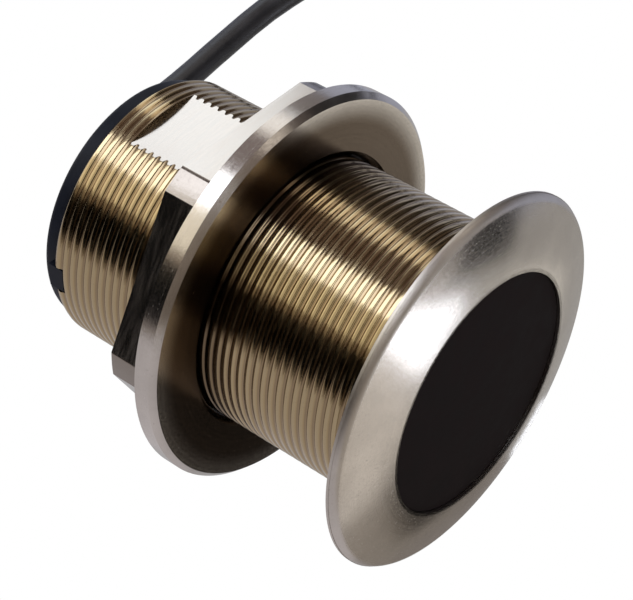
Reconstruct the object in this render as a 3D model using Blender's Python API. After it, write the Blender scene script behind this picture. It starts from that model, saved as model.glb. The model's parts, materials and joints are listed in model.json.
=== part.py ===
# Bronze through-hull sonar transducer with its hull nut and cable, standing on its flange.
# Metres, +Z up the stem, origin at the centre of the flange's front. Angles are in degrees.

import math

import bmesh
import bpy
from mathutils import Matrix, Vector

CLEARANCE = 0.0003
MERGE = 0.000001

# Housing: flange, stem and bore. The thread has twice the real pitch, which keeps its facets few
STEM_RADIUS = 0.0254
STEM_END = 0.07515
STEM_WALL = 0.0046
STEM_EDGE = 0.0005
THREAD_PITCH = 2.0 * 0.0254 / 15.0
THREAD_DEPTH = 0.0006
NECK_STEP = 0.0002
NECK_HEIGHT = 0.001
FLANGE_WIDTH = 0.00966
FLANGE_RIM_START = 0.00328
FLANGE_RIM_THICKNESS = 0.00117
FLANGE_RIM_EDGE = 0.0003
LIP_WIDTH = 0.0006
RECESS_DEPTH = 0.005
WRENCH_FLAT_DEPTH = 0.0014
WRENCH_FLAT_START = 0.044
WRENCH_FLAT_END = 0.06967
WRENCH_FLAT_ANGLE = -53.5
KEY_ANGLE = -139.75
KEY_NOTCH_WIDTH = 0.0055
KEY_NOTCH_DEPTH = 0.0024

# Hull nut: washer flange and hexagon with turned corners
NUT_START = 0.03998
NUT_WASHER_WALL = 0.01164
NUT_WASHER_THICKNESS = 0.00409
NUT_WASHER_CHAMFER = 0.00105
NUT_HEX_HEIGHT = 0.00814
NUT_FLAT_WALL = 0.00527
NUT_CORNER_WALL = 0.00867
NUT_FLAT_ANGLE = -110.1
NUT_BORE_CHAMFER = 0.001
NUT_EDGE = 0.0003

# Acoustic window: the moulded urethane face
WINDOW_STEP = 0.0015
WINDOW_SETBACK = 0.0006
WINDOW_THICKNESS = 0.0038
WINDOW_EDGE = 0.0004
WINDOW_RIM = 0.0024

# Element assembly, tilted so that the beam points straight down through a sloping hull
ELEMENT_TILT = 12.0
POTTING_SIDE_WALL = 0.0011
POTTING_ROOF = 0.0023
CUP_WALL = 0.0012
CUP_BASE = 0.0012
SLEEVE_WALL = 0.0016
CERAMIC_THICKNESS = 0.006
PAD_THICKNESS = 0.004
LEAD_RADIUS = 0.0005
LEAD_OFFSET = 0.006
LEAD_TAIL = 0.001

# Temperature sensor beside the element
THERMISTOR_RADIUS = 0.0012
THERMISTOR_LENGTH = 0.007
THERMISTOR_SIDE_WALL = 0.0008
THERMISTOR_LEAD_RADIUS = 0.0004

# Circuit board and what stands on it
BOARD_THICKNESS = 0.0016
CORE_GAP = 0.0011
CORE_HEIGHT = 0.008
CORE_FLANGE = 0.0015
CORE_WINDING_DEPTH = 0.0035
CHIP_SIDE = 0.005
CHIP_HEIGHT = 0.0015
CHIP_EDGE_DISTANCE = 0.0085
BOARD_LEAD_RADIUS = 0.0016
COMPONENT_SPACE = 0.010

# Rear cap, its seal and the strain relief
CAP_SPIGOT_LENGTH = 0.00815
CAP_INSET = 0.00132
CAP_THICKNESS = 0.00327
CAP_EDGE = 0.0012
SEAL_GROOVE_DEPTH = 0.0016
SEAL_GROOVE_WIDTH = 0.002
SEAL_GROOVE_START = 0.002
SHEATH_GRIP = 0.005
RELIEF_WALL = 0.0015
RELIEF_LIP_WALL = 0.0027
RELIEF_LIP_HEIGHT = 0.0009
RELIEF_TIP_WALL = 0.0006
RELIEF_LENGTH = 0.012

# Cable: out of the cap, over to the side and down to a coil on the floor
CABLE_DIAMETER = 0.0052
CABLE_STEP = 0.006
COIL_CENTRE = Vector((0.128, 0.0, 0.0))
COIL_TURN_PITCH = 0.0053
COIL_COLUMNS = 6
COIL_ROWS = 6
COIL_MEAN_RADIUS = 0.034
COIL_EDGE = 0.0016
TIE_THICKNESS = 0.0012
TIE_WIDTH = 0.008
TIE_CORNER = 0.002
TIE_ANGLES = {"cable_tie_a": 45.0, "cable_tie_b": 180.0}

# Cable's end: a quarter turn inwards on the coil, then into the plug
TAIL_TURN_RADIUS = 0.020
TAIL_STEPS = 6

# Plug, which lies on the coil and points along -X
BOOT_LENGTH = 0.024
BOOT_TIP_RADIUS = 0.0038
BOOT_RADIUS = 0.0076
BOOT_BORE_DEPTH = 0.008
GRIP_LENGTH = 0.020
GRIP_RADIUS = 0.009
GRIP_EDGE = 0.001
BARREL_LENGTH = 0.018
BARREL_RADIUS = 0.0076
BARREL_CAVITY_RADIUS = 0.0061
BARREL_CAVITY_DEPTH = 0.013
RETAINER_RADIUS = 0.0087
RETAINER_WIDTH = 0.002
COLLAR_RADIUS = 0.0105
COLLAR_WALL = 0.0011
COLLAR_REAR_WALL = 0.0025
COLLAR_OVERHANG = 0.001
COLLAR_GROOVE_DEPTH = 0.0005
COLLAR_EDGE = 0.0008
INSERT_THICKNESS = 0.006
PLUG_SEAL_RADIUS = 0.0006
PIN_RADIUS = 0.00055
PIN_REACH = 0.0055
PIN_CIRCLE_RADIUS = 0.0038
PIN_COUNT = 6

# Facets
ROUND_STEPS = 48
THREAD_STEPS = 32
INNER_STEPS = 32
SMALL_STEPS = 24
WIRE_STEPS = 10
SEAL_STEPS = 8
NUT_FLAT_STEPS = 8
NUT_CORNER_STEPS = 2
CORNER_STEPS = 2
SHARP_ANGLE = 35.0

# Heights and radii that follow from the sizes above
BORE_RADIUS = STEM_RADIUS - STEM_WALL
FLANGE_RADIUS = STEM_RADIUS + FLANGE_WIDTH
FLANGE_BACK = FLANGE_RIM_START + FLANGE_RIM_THICKNESS
NECK_RADIUS = STEM_RADIUS + NECK_STEP
WINDOW_RADIUS = BORE_RADIUS + WINDOW_STEP
RECESS_RADIUS = WINDOW_RADIUS + CLEARANCE
LIP_RADIUS = RECESS_RADIUS + LIP_WIDTH
FILL_RADIUS = BORE_RADIUS - CLEARANCE
WRENCH_FLAT_DISTANCE = STEM_RADIUS - WRENCH_FLAT_DEPTH
NUT_BORE_RADIUS = STEM_RADIUS + CLEARANCE
NUT_WASHER_RADIUS = NUT_BORE_RADIUS + NUT_WASHER_WALL
NUT_CORNER_RADIUS = NUT_BORE_RADIUS + NUT_CORNER_WALL
NUT_ACROSS_FLATS = 2.0 * (NUT_BORE_RADIUS + NUT_FLAT_WALL)
TILT_SINE = math.sin(math.radians(ELEMENT_TILT))
TILT_COSINE = math.cos(math.radians(ELEMENT_TILT))
POCKET_DEPTH = CERAMIC_THICKNESS + PAD_THICKNESS + CUP_BASE + 4.0 * CLEARANCE
POCKET_RADIUS = (FILL_RADIUS - POTTING_SIDE_WALL - POCKET_DEPTH * TILT_SINE) / TILT_COSINE
POCKET_HEIGHT = WINDOW_SETBACK + WINDOW_THICKNESS + POCKET_RADIUS * TILT_SINE
WINDOW_TOP = POCKET_HEIGHT + POCKET_RADIUS * TILT_SINE + WINDOW_RIM
POTTING_START = WINDOW_TOP + CLEARANCE
POCKET_TOP = POCKET_HEIGHT + POCKET_DEPTH * TILT_COSINE + POCKET_RADIUS * TILT_SINE
POTTING_TOP = POCKET_TOP + POTTING_ROOF
BOARD_START = POTTING_TOP + CLEARANCE
BOARD_TOP = BOARD_START + BOARD_THICKNESS
THERMISTOR_HOLE_RADIUS = THERMISTOR_RADIUS + CLEARANCE
THERMISTOR_OFFSET = FILL_RADIUS - THERMISTOR_SIDE_WALL - THERMISTOR_HOLE_RADIUS
CORE_INNER_SIDE = BOARD_LEAD_RADIUS + CORE_GAP
CORE_OUTER_SIDE = THERMISTOR_OFFSET - THERMISTOR_LEAD_RADIUS - CORE_GAP
CORE_RADIUS = (CORE_OUTER_SIDE - CORE_INNER_SIDE) / 2.0
CORE_OFFSET = (CORE_OUTER_SIDE + CORE_INNER_SIDE) / 2.0
CORE_POST_RADIUS = CORE_RADIUS - CORE_WINDING_DEPTH
CHIP_OFFSET = FILL_RADIUS - CHIP_EDGE_DISTANCE
CAP_START = STEM_END - CAP_SPIGOT_LENGTH
CAP_SEAT = STEM_END + CLEARANCE
CAP_TOP = CAP_SEAT + CAP_THICKNESS
CAP_RADIUS = STEM_RADIUS - CAP_INSET
REAR_POTTING_START = BOARD_TOP + COMPONENT_SPACE
REAR_POTTING_TOP = CAP_START - CLEARANCE
SHEATH_START = REAR_POTTING_TOP - SHEATH_GRIP
CABLE_RADIUS = CABLE_DIAMETER / 2.0
CABLE_BORE_RADIUS = CABLE_RADIUS + CLEARANCE
RELIEF_RADIUS = CABLE_BORE_RADIUS + RELIEF_WALL
COIL_START = TIE_THICKNESS + CLEARANCE
COIL_HEIGHT = COIL_ROWS * COIL_TURN_PITCH
COIL_TOP = COIL_START + COIL_HEIGHT
COIL_WIDTH = COIL_COLUMNS * COIL_TURN_PITCH
COIL_OUTER_RADIUS = COIL_MEAN_RADIUS + COIL_WIDTH / 2.0
LAST_TURN_RADIUS = COIL_OUTER_RADIUS - COIL_TURN_PITCH / 2.0
PLUG_HEIGHT = COIL_TOP + CLEARANCE + COLLAR_RADIUS
TAIL_TURN_CENTRE = COIL_CENTRE + Vector((LAST_TURN_RADIUS - TAIL_TURN_RADIUS, 0.0, 0.0))
PLUG_START = TAIL_TURN_CENTRE + Vector((0.0, -TAIL_TURN_RADIUS, PLUG_HEIGHT))
COLLAR_BORE_RADIUS = BARREL_RADIUS + CLEARANCE
COLLAR_CAVITY_RADIUS = COLLAR_RADIUS - COLLAR_WALL
GRIP_START = BOOT_LENGTH + CLEARANCE
BARREL_START = GRIP_START + GRIP_LENGTH
BARREL_END = BARREL_START + BARREL_LENGTH
COLLAR_START = BARREL_START + CLEARANCE
RETAINER_START = COLLAR_START + COLLAR_REAR_WALL + CLEARANCE
CAVITY_START = BARREL_END - BARREL_CAVITY_DEPTH
INSERT_START = CAVITY_START + CLEARANCE
INSERT_END = INSERT_START + INSERT_THICKNESS

# Route of the cable outside the cap, chosen by hand: first from the exit, then down beside the coil
RISE_ROUTE = [
    Vector((0.0, 0.0, 0.0014)),
    Vector((0.0011, 0.0010, 0.0081)),
    Vector((0.0042, 0.0037, 0.0136)),
    Vector((0.0080, 0.0072, 0.0164)),
    Vector((0.0116, 0.0104, 0.0171)),
    Vector((0.0246, 0.0193, 0.0171)),
    Vector((0.0335, 0.0246, 0.0171)),
    Vector((0.0480, 0.0315, 0.0152)),
]
FALL_ROUTE = [
    Vector((0.0640, 0.0378, 0.0868)),
    Vector((0.0790, 0.0435, 0.0715)),
    Vector((0.0900, 0.0475, 0.0510)),
    Vector((0.0975, 0.0500, 0.0290)),
    Vector((0.1055, 0.0518, 0.0120)),
    Vector((0.1165, 0.0528, 0.0040)),
    Vector((0.1280, 0.0530, 0.0029)),
]


def make_material(name, colour, roughness, metallic=0.0):
    """Return a plain Principled material."""
    material = bpy.data.materials.new(name)
    material.use_nodes = True
    shader = material.node_tree.nodes["Principled BSDF"]
    shader.inputs["Base Color"].default_value = (*colour, 1.0)
    shader.inputs["Roughness"].default_value = roughness
    shader.inputs["Metallic"].default_value = metallic
    return material


def add_object(name, shape, material=None, parent=None):
    """Turn a bmesh into a named object with smooth round faces."""
    bmesh.ops.recalc_face_normals(shape, faces=shape.faces)
    mesh = bpy.data.meshes.new(name)
    shape.to_mesh(mesh)
    shape.free()
    mesh.shade_smooth()
    mesh.set_sharp_from_angle(angle=math.radians(SHARP_ANGLE))
    piece = bpy.data.objects.new(name, mesh)
    bpy.context.scene.collection.objects.link(piece)
    if material:
        mesh.materials.append(material)
    piece.parent = parent
    return piece


def turned(outline, steps):
    """Spin an outline of (radius, height) points about Z. Ends on the axis are closed there."""
    shape = bmesh.new()
    verts = [shape.verts.new((radius, 0.0, height)) for radius, height in outline]
    edges = [shape.edges.new(pair) for pair in zip(verts, verts[1:])]
    if outline[0][0] > 0.0:
        edges.append(shape.edges.new((verts[-1], verts[0])))
    bmesh.ops.spin(
        shape,
        geom=verts + edges,
        cent=(0.0, 0.0, 0.0),
        axis=(0.0, 0.0, 1.0),
        angle=math.tau,
        steps=steps,
        use_merge=True,
    )
    bmesh.ops.remove_doubles(shape, verts=shape.verts, dist=MERGE)
    return shape


def block(centre, size):
    """Return a box with its size along each axis."""
    shape = bmesh.new()
    placing = Matrix.Translation(centre) @ Matrix.Diagonal((*size, 1.0))
    bmesh.ops.create_cube(shape, size=1.0, matrix=placing)
    return shape


def rod(radius, start, end, steps, place=(0.0, 0.0)):
    """Return a straight rod along Z at a place in X and Y."""
    shape = turned([(0.0, start), (radius, start), (radius, end), (0.0, end)], steps)
    bmesh.ops.translate(shape, verts=shape.verts, vec=(*place, 0.0))
    return shape


def tube(inner, outer, start, end, steps):
    """Return a ring of rectangular section."""
    return turned([(inner, start), (outer, start), (outer, end), (inner, end)], steps)


def arc(centre, radius, first, last, steps):
    """Return points on an arc in an outline's (radius, height) plane."""
    angles = [first + (last - first) * step / steps for step in range(steps + 1)]
    return [
        (
            centre[0] + radius * math.cos(math.radians(angle)),
            centre[1] + radius * math.sin(math.radians(angle)),
        )
        for angle in angles
    ]


def loft(rings, closed):
    """Join rings of equally many points with faces. An open loft has its end rings filled."""
    shape = bmesh.new()
    loops = [[shape.verts.new(point) for point in ring] for ring in rings]
    pairs = list(zip(loops, loops[1:]))
    if closed:
        pairs.append((loops[-1], loops[0]))
    for lower, upper in pairs:
        for index, corner in enumerate(lower):
            after = (index + 1) % len(lower)
            shape.faces.new((corner, lower[after], upper[after], upper[index]))
    if not closed:
        shape.faces.new(loops[0])
        shape.faces.new(loops[-1])
    return shape


def cut(piece, name, shape, parent=None, operation="DIFFERENCE"):
    """Cut a hidden shape out of a piece, or join it on."""
    cutter = add_object(name, shape, parent=parent)
    cutter.hide_render = True
    cutter.display_type = "WIRE"
    modifier = piece.modifiers.new(name, "BOOLEAN")
    modifier.object = cutter
    modifier.operation = operation
    modifier.solver = "EXACT"
    return cutter


def smooth_route(knots, step):
    """Return points a step apart on a smooth curve through the knots."""
    knots = [knots[0] * 2.0 - knots[1]] + knots + [knots[-1] * 2.0 - knots[-2]]
    fine = []
    for before, start, end, after in zip(knots, knots[1:], knots[2:], knots[3:]):
        spans = [(b - a).length ** 0.5 for a, b in ((before, start), (start, end), (end, after))]
        leave = (start - before) / spans[0] - (end - before) / (spans[0] + spans[1])
        leave = (leave + (end - start) / spans[1]) * spans[1]
        arrive = (end - start) / spans[1] - (after - start) / (spans[1] + spans[2])
        arrive = (arrive + (after - end) / spans[2]) * spans[1]
        for tick in range(24):
            t = tick / 24.0
            fine.append(
                start * (2.0 * t**3 - 3.0 * t**2 + 1.0)
                + leave * (t**3 - 2.0 * t**2 + t)
                + end * (3.0 * t**2 - 2.0 * t**3)
                + arrive * (t**3 - t**2)
            )
    fine.append(knots[-2])
    lengths = [0.0]
    for start, end in zip(fine, fine[1:]):
        lengths.append(lengths[-1] + (end - start).length)
    count = max(2, round(lengths[-1] / step))
    points = []
    index = 0
    for tick in range(count + 1):
        target = lengths[-1] * tick / count
        while index < len(fine) - 2 and lengths[index + 1] < target:
            index += 1
        share = (target - lengths[index]) / (lengths[index + 1] - lengths[index])
        points.append(fine[index].lerp(fine[index + 1], share))
    return points


def add_cord(name, points, material):
    """Lay a round cord through the points, as a curve with filled ends."""
    curve = bpy.data.curves.new(name, "CURVE")
    curve.dimensions = "3D"
    curve.bevel_depth = CABLE_RADIUS
    curve.bevel_resolution = 3
    curve.use_fill_caps = True
    spline = curve.splines.new("POLY")
    spline.points.add(len(points) - 1)
    for place, point in zip(spline.points, points):
        place.co = (*point, 1.0)
    curve.materials.append(material)
    cord = bpy.data.objects.new(name, curve)
    bpy.context.scene.collection.objects.link(cord)
    return cord


def ring_across(centre, direction, side, radius, steps):
    """Return a circle of points across a direction, its first point towards the side."""
    across = (side - direction * side.dot(direction)).normalized()
    up = direction.cross(across)
    angles = [math.tau * index / steps for index in range(steps)]
    return [centre + (across * math.cos(a) + up * math.sin(a)) * radius for a in angles]


def build_housing(bronze):
    """Cast and turned bronze body: bevelled flange, threaded stem, bore, flats and key notch."""
    housing = add_object("housing", thread_rod(FLANGE_BACK - CLEARANCE, STEM_END), bronze)
    outline = [(0.0, 0.0), (LIP_RADIUS, 0.0), (FLANGE_RADIUS, FLANGE_RIM_START)]
    outline.append((FLANGE_RADIUS, FLANGE_BACK - FLANGE_RIM_EDGE))
    outline.append((FLANGE_RADIUS - FLANGE_RIM_EDGE, FLANGE_BACK))
    outline += [(NECK_RADIUS, FLANGE_BACK), (NECK_RADIUS, FLANGE_BACK + NECK_HEIGHT)]
    outline.append((0.0, FLANGE_BACK + NECK_HEIGHT))
    cut(housing, "flange_disc", turned(outline, ROUND_STEPS), operation="UNION")
    outline = [(0.0, -CLEARANCE), (RECESS_RADIUS, -CLEARANCE), (RECESS_RADIUS, RECESS_DEPTH)]
    outline += [(BORE_RADIUS, RECESS_DEPTH), (BORE_RADIUS, STEM_END + CLEARANCE)]
    outline.append((0.0, STEM_END + CLEARANCE))
    cut(housing, "bore_cutter", turned(outline, ROUND_STEPS))
    outline = [(STEM_RADIUS - STEM_EDGE - CLEARANCE, STEM_END + CLEARANCE)]
    outline.append((STEM_RADIUS + CLEARANCE, STEM_END - STEM_EDGE - CLEARANCE))
    outline.append((STEM_RADIUS + CLEARANCE, STEM_END + CLEARANCE))
    cut(housing, "stem_edge_cutter", turned(outline, ROUND_STEPS))
    side = 2.0 * STEM_RADIUS
    for index, turn in enumerate((0.0, 180.0)):
        size = (side, side, WRENCH_FLAT_END - WRENCH_FLAT_START)
        middle = (WRENCH_FLAT_START + WRENCH_FLAT_END) / 2.0
        shape = block((WRENCH_FLAT_DISTANCE + side / 2.0, 0.0, middle), size)
        spin = Matrix.Rotation(math.radians(WRENCH_FLAT_ANGLE + turn), 4, "Z")
        bmesh.ops.transform(shape, matrix=spin, verts=shape.verts)
        cut(housing, f"wrench_flat_cutter_{index}", shape)
    reach = STEM_WALL + 4.0 * CLEARANCE
    middle = BORE_RADIUS + STEM_WALL / 2.0
    height = STEM_END - KEY_NOTCH_DEPTH / 2.0 + CLEARANCE
    size = (reach, KEY_NOTCH_WIDTH, KEY_NOTCH_DEPTH + 2.0 * CLEARANCE)
    cut(housing, "key_notch_cutter", key_block((middle, 0.0, height), size))
    return housing


def thread_rod(start, end):
    """Return a solid rod with the stem's thread, made of one turn and copies of it."""
    root = STEM_RADIUS - THREAD_DEPTH
    outline = [(root, 0.0), (STEM_RADIUS, THREAD_PITCH / 2.0), (root, THREAD_PITCH)]
    shape = bmesh.new()
    low = start - THREAD_PITCH
    verts = [shape.verts.new((radius, 0.0, low + height)) for radius, height in outline]
    edges = [shape.edges.new(pair) for pair in zip(verts, verts[1:])]
    bmesh.ops.spin(
        shape,
        geom=verts + edges,
        cent=(0.0, 0.0, 0.0),
        axis=(0.0, 0.0, 1.0),
        dvec=(0.0, 0.0, THREAD_PITCH / THREAD_STEPS),
        angle=math.tau,
        steps=THREAD_STEPS,
    )
    first_turn = shape.verts[:] + shape.edges[:] + shape.faces[:]
    for turn in range(1, math.ceil((end - start) / THREAD_PITCH) + 1):
        copied = bmesh.ops.duplicate(shape, geom=first_turn)["geom"]
        moved = [item for item in copied if isinstance(item, bmesh.types.BMVert)]
        bmesh.ops.translate(shape, verts=moved, vec=(0.0, 0.0, turn * THREAD_PITCH))
    bmesh.ops.remove_doubles(shape, verts=shape.verts, dist=MERGE)
    for height, outwards in ((start, -1.0), (end, 1.0)):
        trim_flat(shape, height, outwards)
    return shape


def trim_flat(shape, height, outwards):
    """Cut a tube off at a height and close its end."""
    bmesh.ops.bisect_plane(
        shape,
        geom=shape.verts[:] + shape.edges[:] + shape.faces[:],
        plane_co=(0.0, 0.0, height),
        plane_no=(0.0, 0.0, outwards),
        clear_outer=True,
    )
    rim = [edge for edge in shape.edges if edge.is_boundary]
    rim = [edge for edge in rim if abs(edge.verts[0].co.z - height) < MERGE]
    bmesh.ops.contextual_create(shape, geom=rim)


def key_block(centre, size):
    """Return a box that is turned to the key's place on the stem's rim."""
    shape = block(centre, size)
    spin = Matrix.Rotation(math.radians(KEY_ANGLE), 4, "Z")
    bmesh.ops.transform(shape, matrix=spin, verts=shape.verts)
    return shape


def nut_angles():
    """Return the angles round the nut, closer together at the turned corners."""
    half_flat = math.degrees(math.acos(NUT_ACROSS_FLATS / 2.0 / NUT_CORNER_RADIUS))
    half_corner = 30.0 - half_flat
    angles = []
    for side in range(6):
        middle = NUT_FLAT_ANGLE + 60.0 * side
        for step in range(NUT_FLAT_STEPS):
            angles.append(middle + half_flat * (2.0 * step / NUT_FLAT_STEPS - 1.0))
        for step in range(NUT_CORNER_STEPS):
            angles.append(middle + half_flat + 2.0 * half_corner * step / NUT_CORNER_STEPS)
    return angles


def nut_ring(height, radius, across_flats=None):
    """Return a ring of the nut: a circle, or a hexagon with turned corners."""
    ring = []
    for angle in nut_angles():
        reach = radius
        if across_flats:
            from_flat = math.radians((angle - NUT_FLAT_ANGLE + 30.0) % 60.0 - 30.0)
            reach = min(radius, across_flats / 2.0 / math.cos(from_flat))
        turn = math.radians(angle)
        ring.append(Vector((reach * math.cos(turn), reach * math.sin(turn), height)))
    return ring


def build_hull_nut(bronze):
    """One-piece bronze nut: round washer flange under a hexagon."""
    bore = NUT_BORE_RADIUS
    washer_back = NUT_START + NUT_WASHER_THICKNESS
    rear = washer_back + NUT_HEX_HEIGHT
    flats = NUT_ACROSS_FLATS
    corner = NUT_CORNER_RADIUS
    rings = [
        nut_ring(NUT_START, bore + NUT_BORE_CHAMFER),
        nut_ring(NUT_START, NUT_WASHER_RADIUS - NUT_WASHER_CHAMFER),
        nut_ring(NUT_START + NUT_WASHER_CHAMFER, NUT_WASHER_RADIUS),
        nut_ring(washer_back - NUT_EDGE, NUT_WASHER_RADIUS),
        nut_ring(washer_back, NUT_WASHER_RADIUS - NUT_EDGE),
        nut_ring(washer_back, corner, flats),
        nut_ring(rear - NUT_EDGE, corner, flats),
        nut_ring(rear, corner - NUT_EDGE, flats - 2.0 * NUT_EDGE),
        nut_ring(rear, bore + NUT_BORE_CHAMFER),
        nut_ring(rear - NUT_BORE_CHAMFER, bore),
        nut_ring(NUT_START + NUT_BORE_CHAMFER, bore),
    ]
    return add_object("hull_nut", loft(rings, closed=True), bronze)


def build_window(urethane, tilt):
    """Moulded face of the transducer, with the tilted pocket that takes the element's cup."""
    outline = [(0.0, WINDOW_SETBACK), (WINDOW_RADIUS - WINDOW_EDGE, WINDOW_SETBACK)]
    outline.append((WINDOW_RADIUS, WINDOW_SETBACK + WINDOW_EDGE))
    outline.append((WINDOW_RADIUS, RECESS_DEPTH - CLEARANCE))
    outline.append((FILL_RADIUS, RECESS_DEPTH - CLEARANCE))
    outline.append((FILL_RADIUS, WINDOW_TOP))
    outline.append((0.0, WINDOW_TOP))
    window = add_object("acoustic_window", turned(outline, ROUND_STEPS), urethane)
    shape = rod(POCKET_RADIUS, 0.0, 2.0 * POCKET_DEPTH, INNER_STEPS)
    cut(window, "window_pocket_cutter", shape, tilt)


def build_element(tilt, materials):
    """Ceramic disc in its foam sleeve, backing pad and cup, with a wire from each electrode."""
    cup_radius = POCKET_RADIUS - CLEARANCE
    sleeve_radius = cup_radius - CUP_WALL - CLEARANCE
    ceramic_radius = sleeve_radius - SLEEVE_WALL - CLEARANCE
    pad_start = CERAMIC_THICKNESS + 2.0 * CLEARANCE
    pad_end = pad_start + PAD_THICKNESS
    base_start = pad_end + CLEARANCE
    base_end = base_start + CUP_BASE
    outline = [(0.0, base_start), (cup_radius - CUP_WALL, base_start)]
    outline += [(cup_radius - CUP_WALL, CLEARANCE), (cup_radius, CLEARANCE)]
    outline += [(cup_radius, base_end), (0.0, base_end)]
    cup = add_object("element_cup", turned(outline, INNER_STEPS), materials["plastic"], tilt)
    shape = tube(sleeve_radius - SLEEVE_WALL, sleeve_radius, CLEARANCE, pad_end, INNER_STEPS)
    add_object("isolation_sleeve", shape, materials["foam"], tilt)
    shape = rod(ceramic_radius, CLEARANCE, CLEARANCE + CERAMIC_THICKNESS, INNER_STEPS)
    add_object("ceramic_element", shape, materials["ceramic"], tilt)
    shape = rod(ceramic_radius, pad_start, pad_end, INNER_STEPS)
    pad = add_object("backing_pad", shape, materials["foam"], tilt)
    lead_end = (BOARD_TOP + LEAD_TAIL - POCKET_HEIGHT) / TILT_COSINE
    for name, side in (("front_lead", 1.0), ("rear_lead", -1.0)):
        place = (0.0, side * LEAD_OFFSET)
        shape = rod(LEAD_RADIUS, pad_start, lead_end, WIRE_STEPS, place)
        add_object(name, shape, materials["wire"], tilt)
    for index, piece in enumerate((pad, cup)):
        cut_lead_holes(piece, f"element_{index}", tilt, pad_start - PAD_THICKNESS / 2.0)


def cut_lead_holes(piece, name, tilt, start):
    """Drill the two wires' holes, along the element's axis."""
    end = 2.0 * (BOARD_TOP - POCKET_HEIGHT)
    for index, side in enumerate((1.0, -1.0)):
        shape = rod(LEAD_RADIUS + CLEARANCE, start, end, WIRE_STEPS, (0.0, side * LEAD_OFFSET))
        cut(piece, f"{name}_lead_hole_{index}", shape, tilt)


def build_potting_and_board(tilt, materials):
    """Epoxy round the cup, the circuit board on it and the temperature sensor in its side."""
    shape = rod(FILL_RADIUS, POTTING_START, POTTING_TOP, INNER_STEPS)
    potting = add_object("element_potting", shape, materials["epoxy"])
    shape = rod(POCKET_RADIUS, -POCKET_DEPTH, POCKET_DEPTH, INNER_STEPS)
    cut(potting, "potting_pocket_cutter", shape, tilt)
    cut_lead_holes(potting, "potting", tilt, POCKET_DEPTH - CUP_BASE)
    shape = rod(FILL_RADIUS, BOARD_START, BOARD_TOP, INNER_STEPS)
    board = add_object("circuit_board", shape, materials["board"])
    cut_lead_holes(board, "board", tilt, POCKET_DEPTH)
    hole = THERMISTOR_HOLE_RADIUS
    place = (-THERMISTOR_OFFSET, 0.0)
    lead_hole = THERMISTOR_LEAD_RADIUS + CLEARANCE
    start = POTTING_START + WINDOW_RIM
    end = start + THERMISTOR_LENGTH
    outline = [(0.0, start - CLEARANCE), (hole, start - CLEARANCE), (hole, end + CLEARANCE)]
    outline += [(lead_hole, end + CLEARANCE), (lead_hole, BOARD_TOP + CLEARANCE)]
    outline.append((0.0, BOARD_TOP + CLEARANCE))
    shape = turned(outline, WIRE_STEPS)
    bmesh.ops.translate(shape, verts=shape.verts, vec=(*place, 0.0))
    cut(potting, "thermistor_hole_cutter", shape)
    shape = rod(lead_hole, POTTING_TOP, BOARD_TOP + CLEARANCE, WIRE_STEPS, place)
    cut(board, "thermistor_lead_hole_cutter", shape)
    shape = rod(THERMISTOR_RADIUS, start, end, WIRE_STEPS, place)
    add_object("thermistor", shape, materials["bead"])
    shape = rod(THERMISTOR_LEAD_RADIUS, end + CLEARANCE, BOARD_TOP + LEAD_TAIL, WIRE_STEPS, place)
    add_object("thermistor_lead", shape, materials["wire"])


def build_board_parts(materials):
    """Matching transformer, identity chip and the cable's inner wires."""
    start = BOARD_TOP + CLEARANCE
    end = start + CORE_HEIGHT
    outline = [(0.0, start), (CORE_RADIUS, start), (CORE_RADIUS, start + CORE_FLANGE)]
    outline += [(CORE_POST_RADIUS, start + CORE_FLANGE), (CORE_POST_RADIUS, end - CORE_FLANGE)]
    outline += [(CORE_RADIUS, end - CORE_FLANGE), (CORE_RADIUS, end), (0.0, end)]
    place = (-CORE_OFFSET, 0.0, 0.0)
    core = turned(outline, SMALL_STEPS)
    bmesh.ops.translate(core, verts=core.verts, vec=place)
    add_object("transformer_core", core, materials["ferrite"])
    inner = CORE_POST_RADIUS + CLEARANCE
    low = start + CORE_FLANGE + CLEARANCE
    high = end - CORE_FLANGE - CLEARANCE
    winding = tube(inner, CORE_RADIUS - CLEARANCE, low, high, SMALL_STEPS)
    bmesh.ops.translate(winding, verts=winding.verts, vec=place)
    add_object("transformer_winding", winding, materials["copper"])
    centre = (CHIP_OFFSET, 0.0, start + CHIP_HEIGHT / 2.0)
    chip = block(centre, (CHIP_SIDE, CHIP_SIDE, CHIP_HEIGHT))
    add_object("id_chip", chip, materials["plastic"])
    shape = rod(BOARD_LEAD_RADIUS, start, SHEATH_START - CLEARANCE, WIRE_STEPS)
    add_object("board_lead", shape, materials["wire"])


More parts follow.
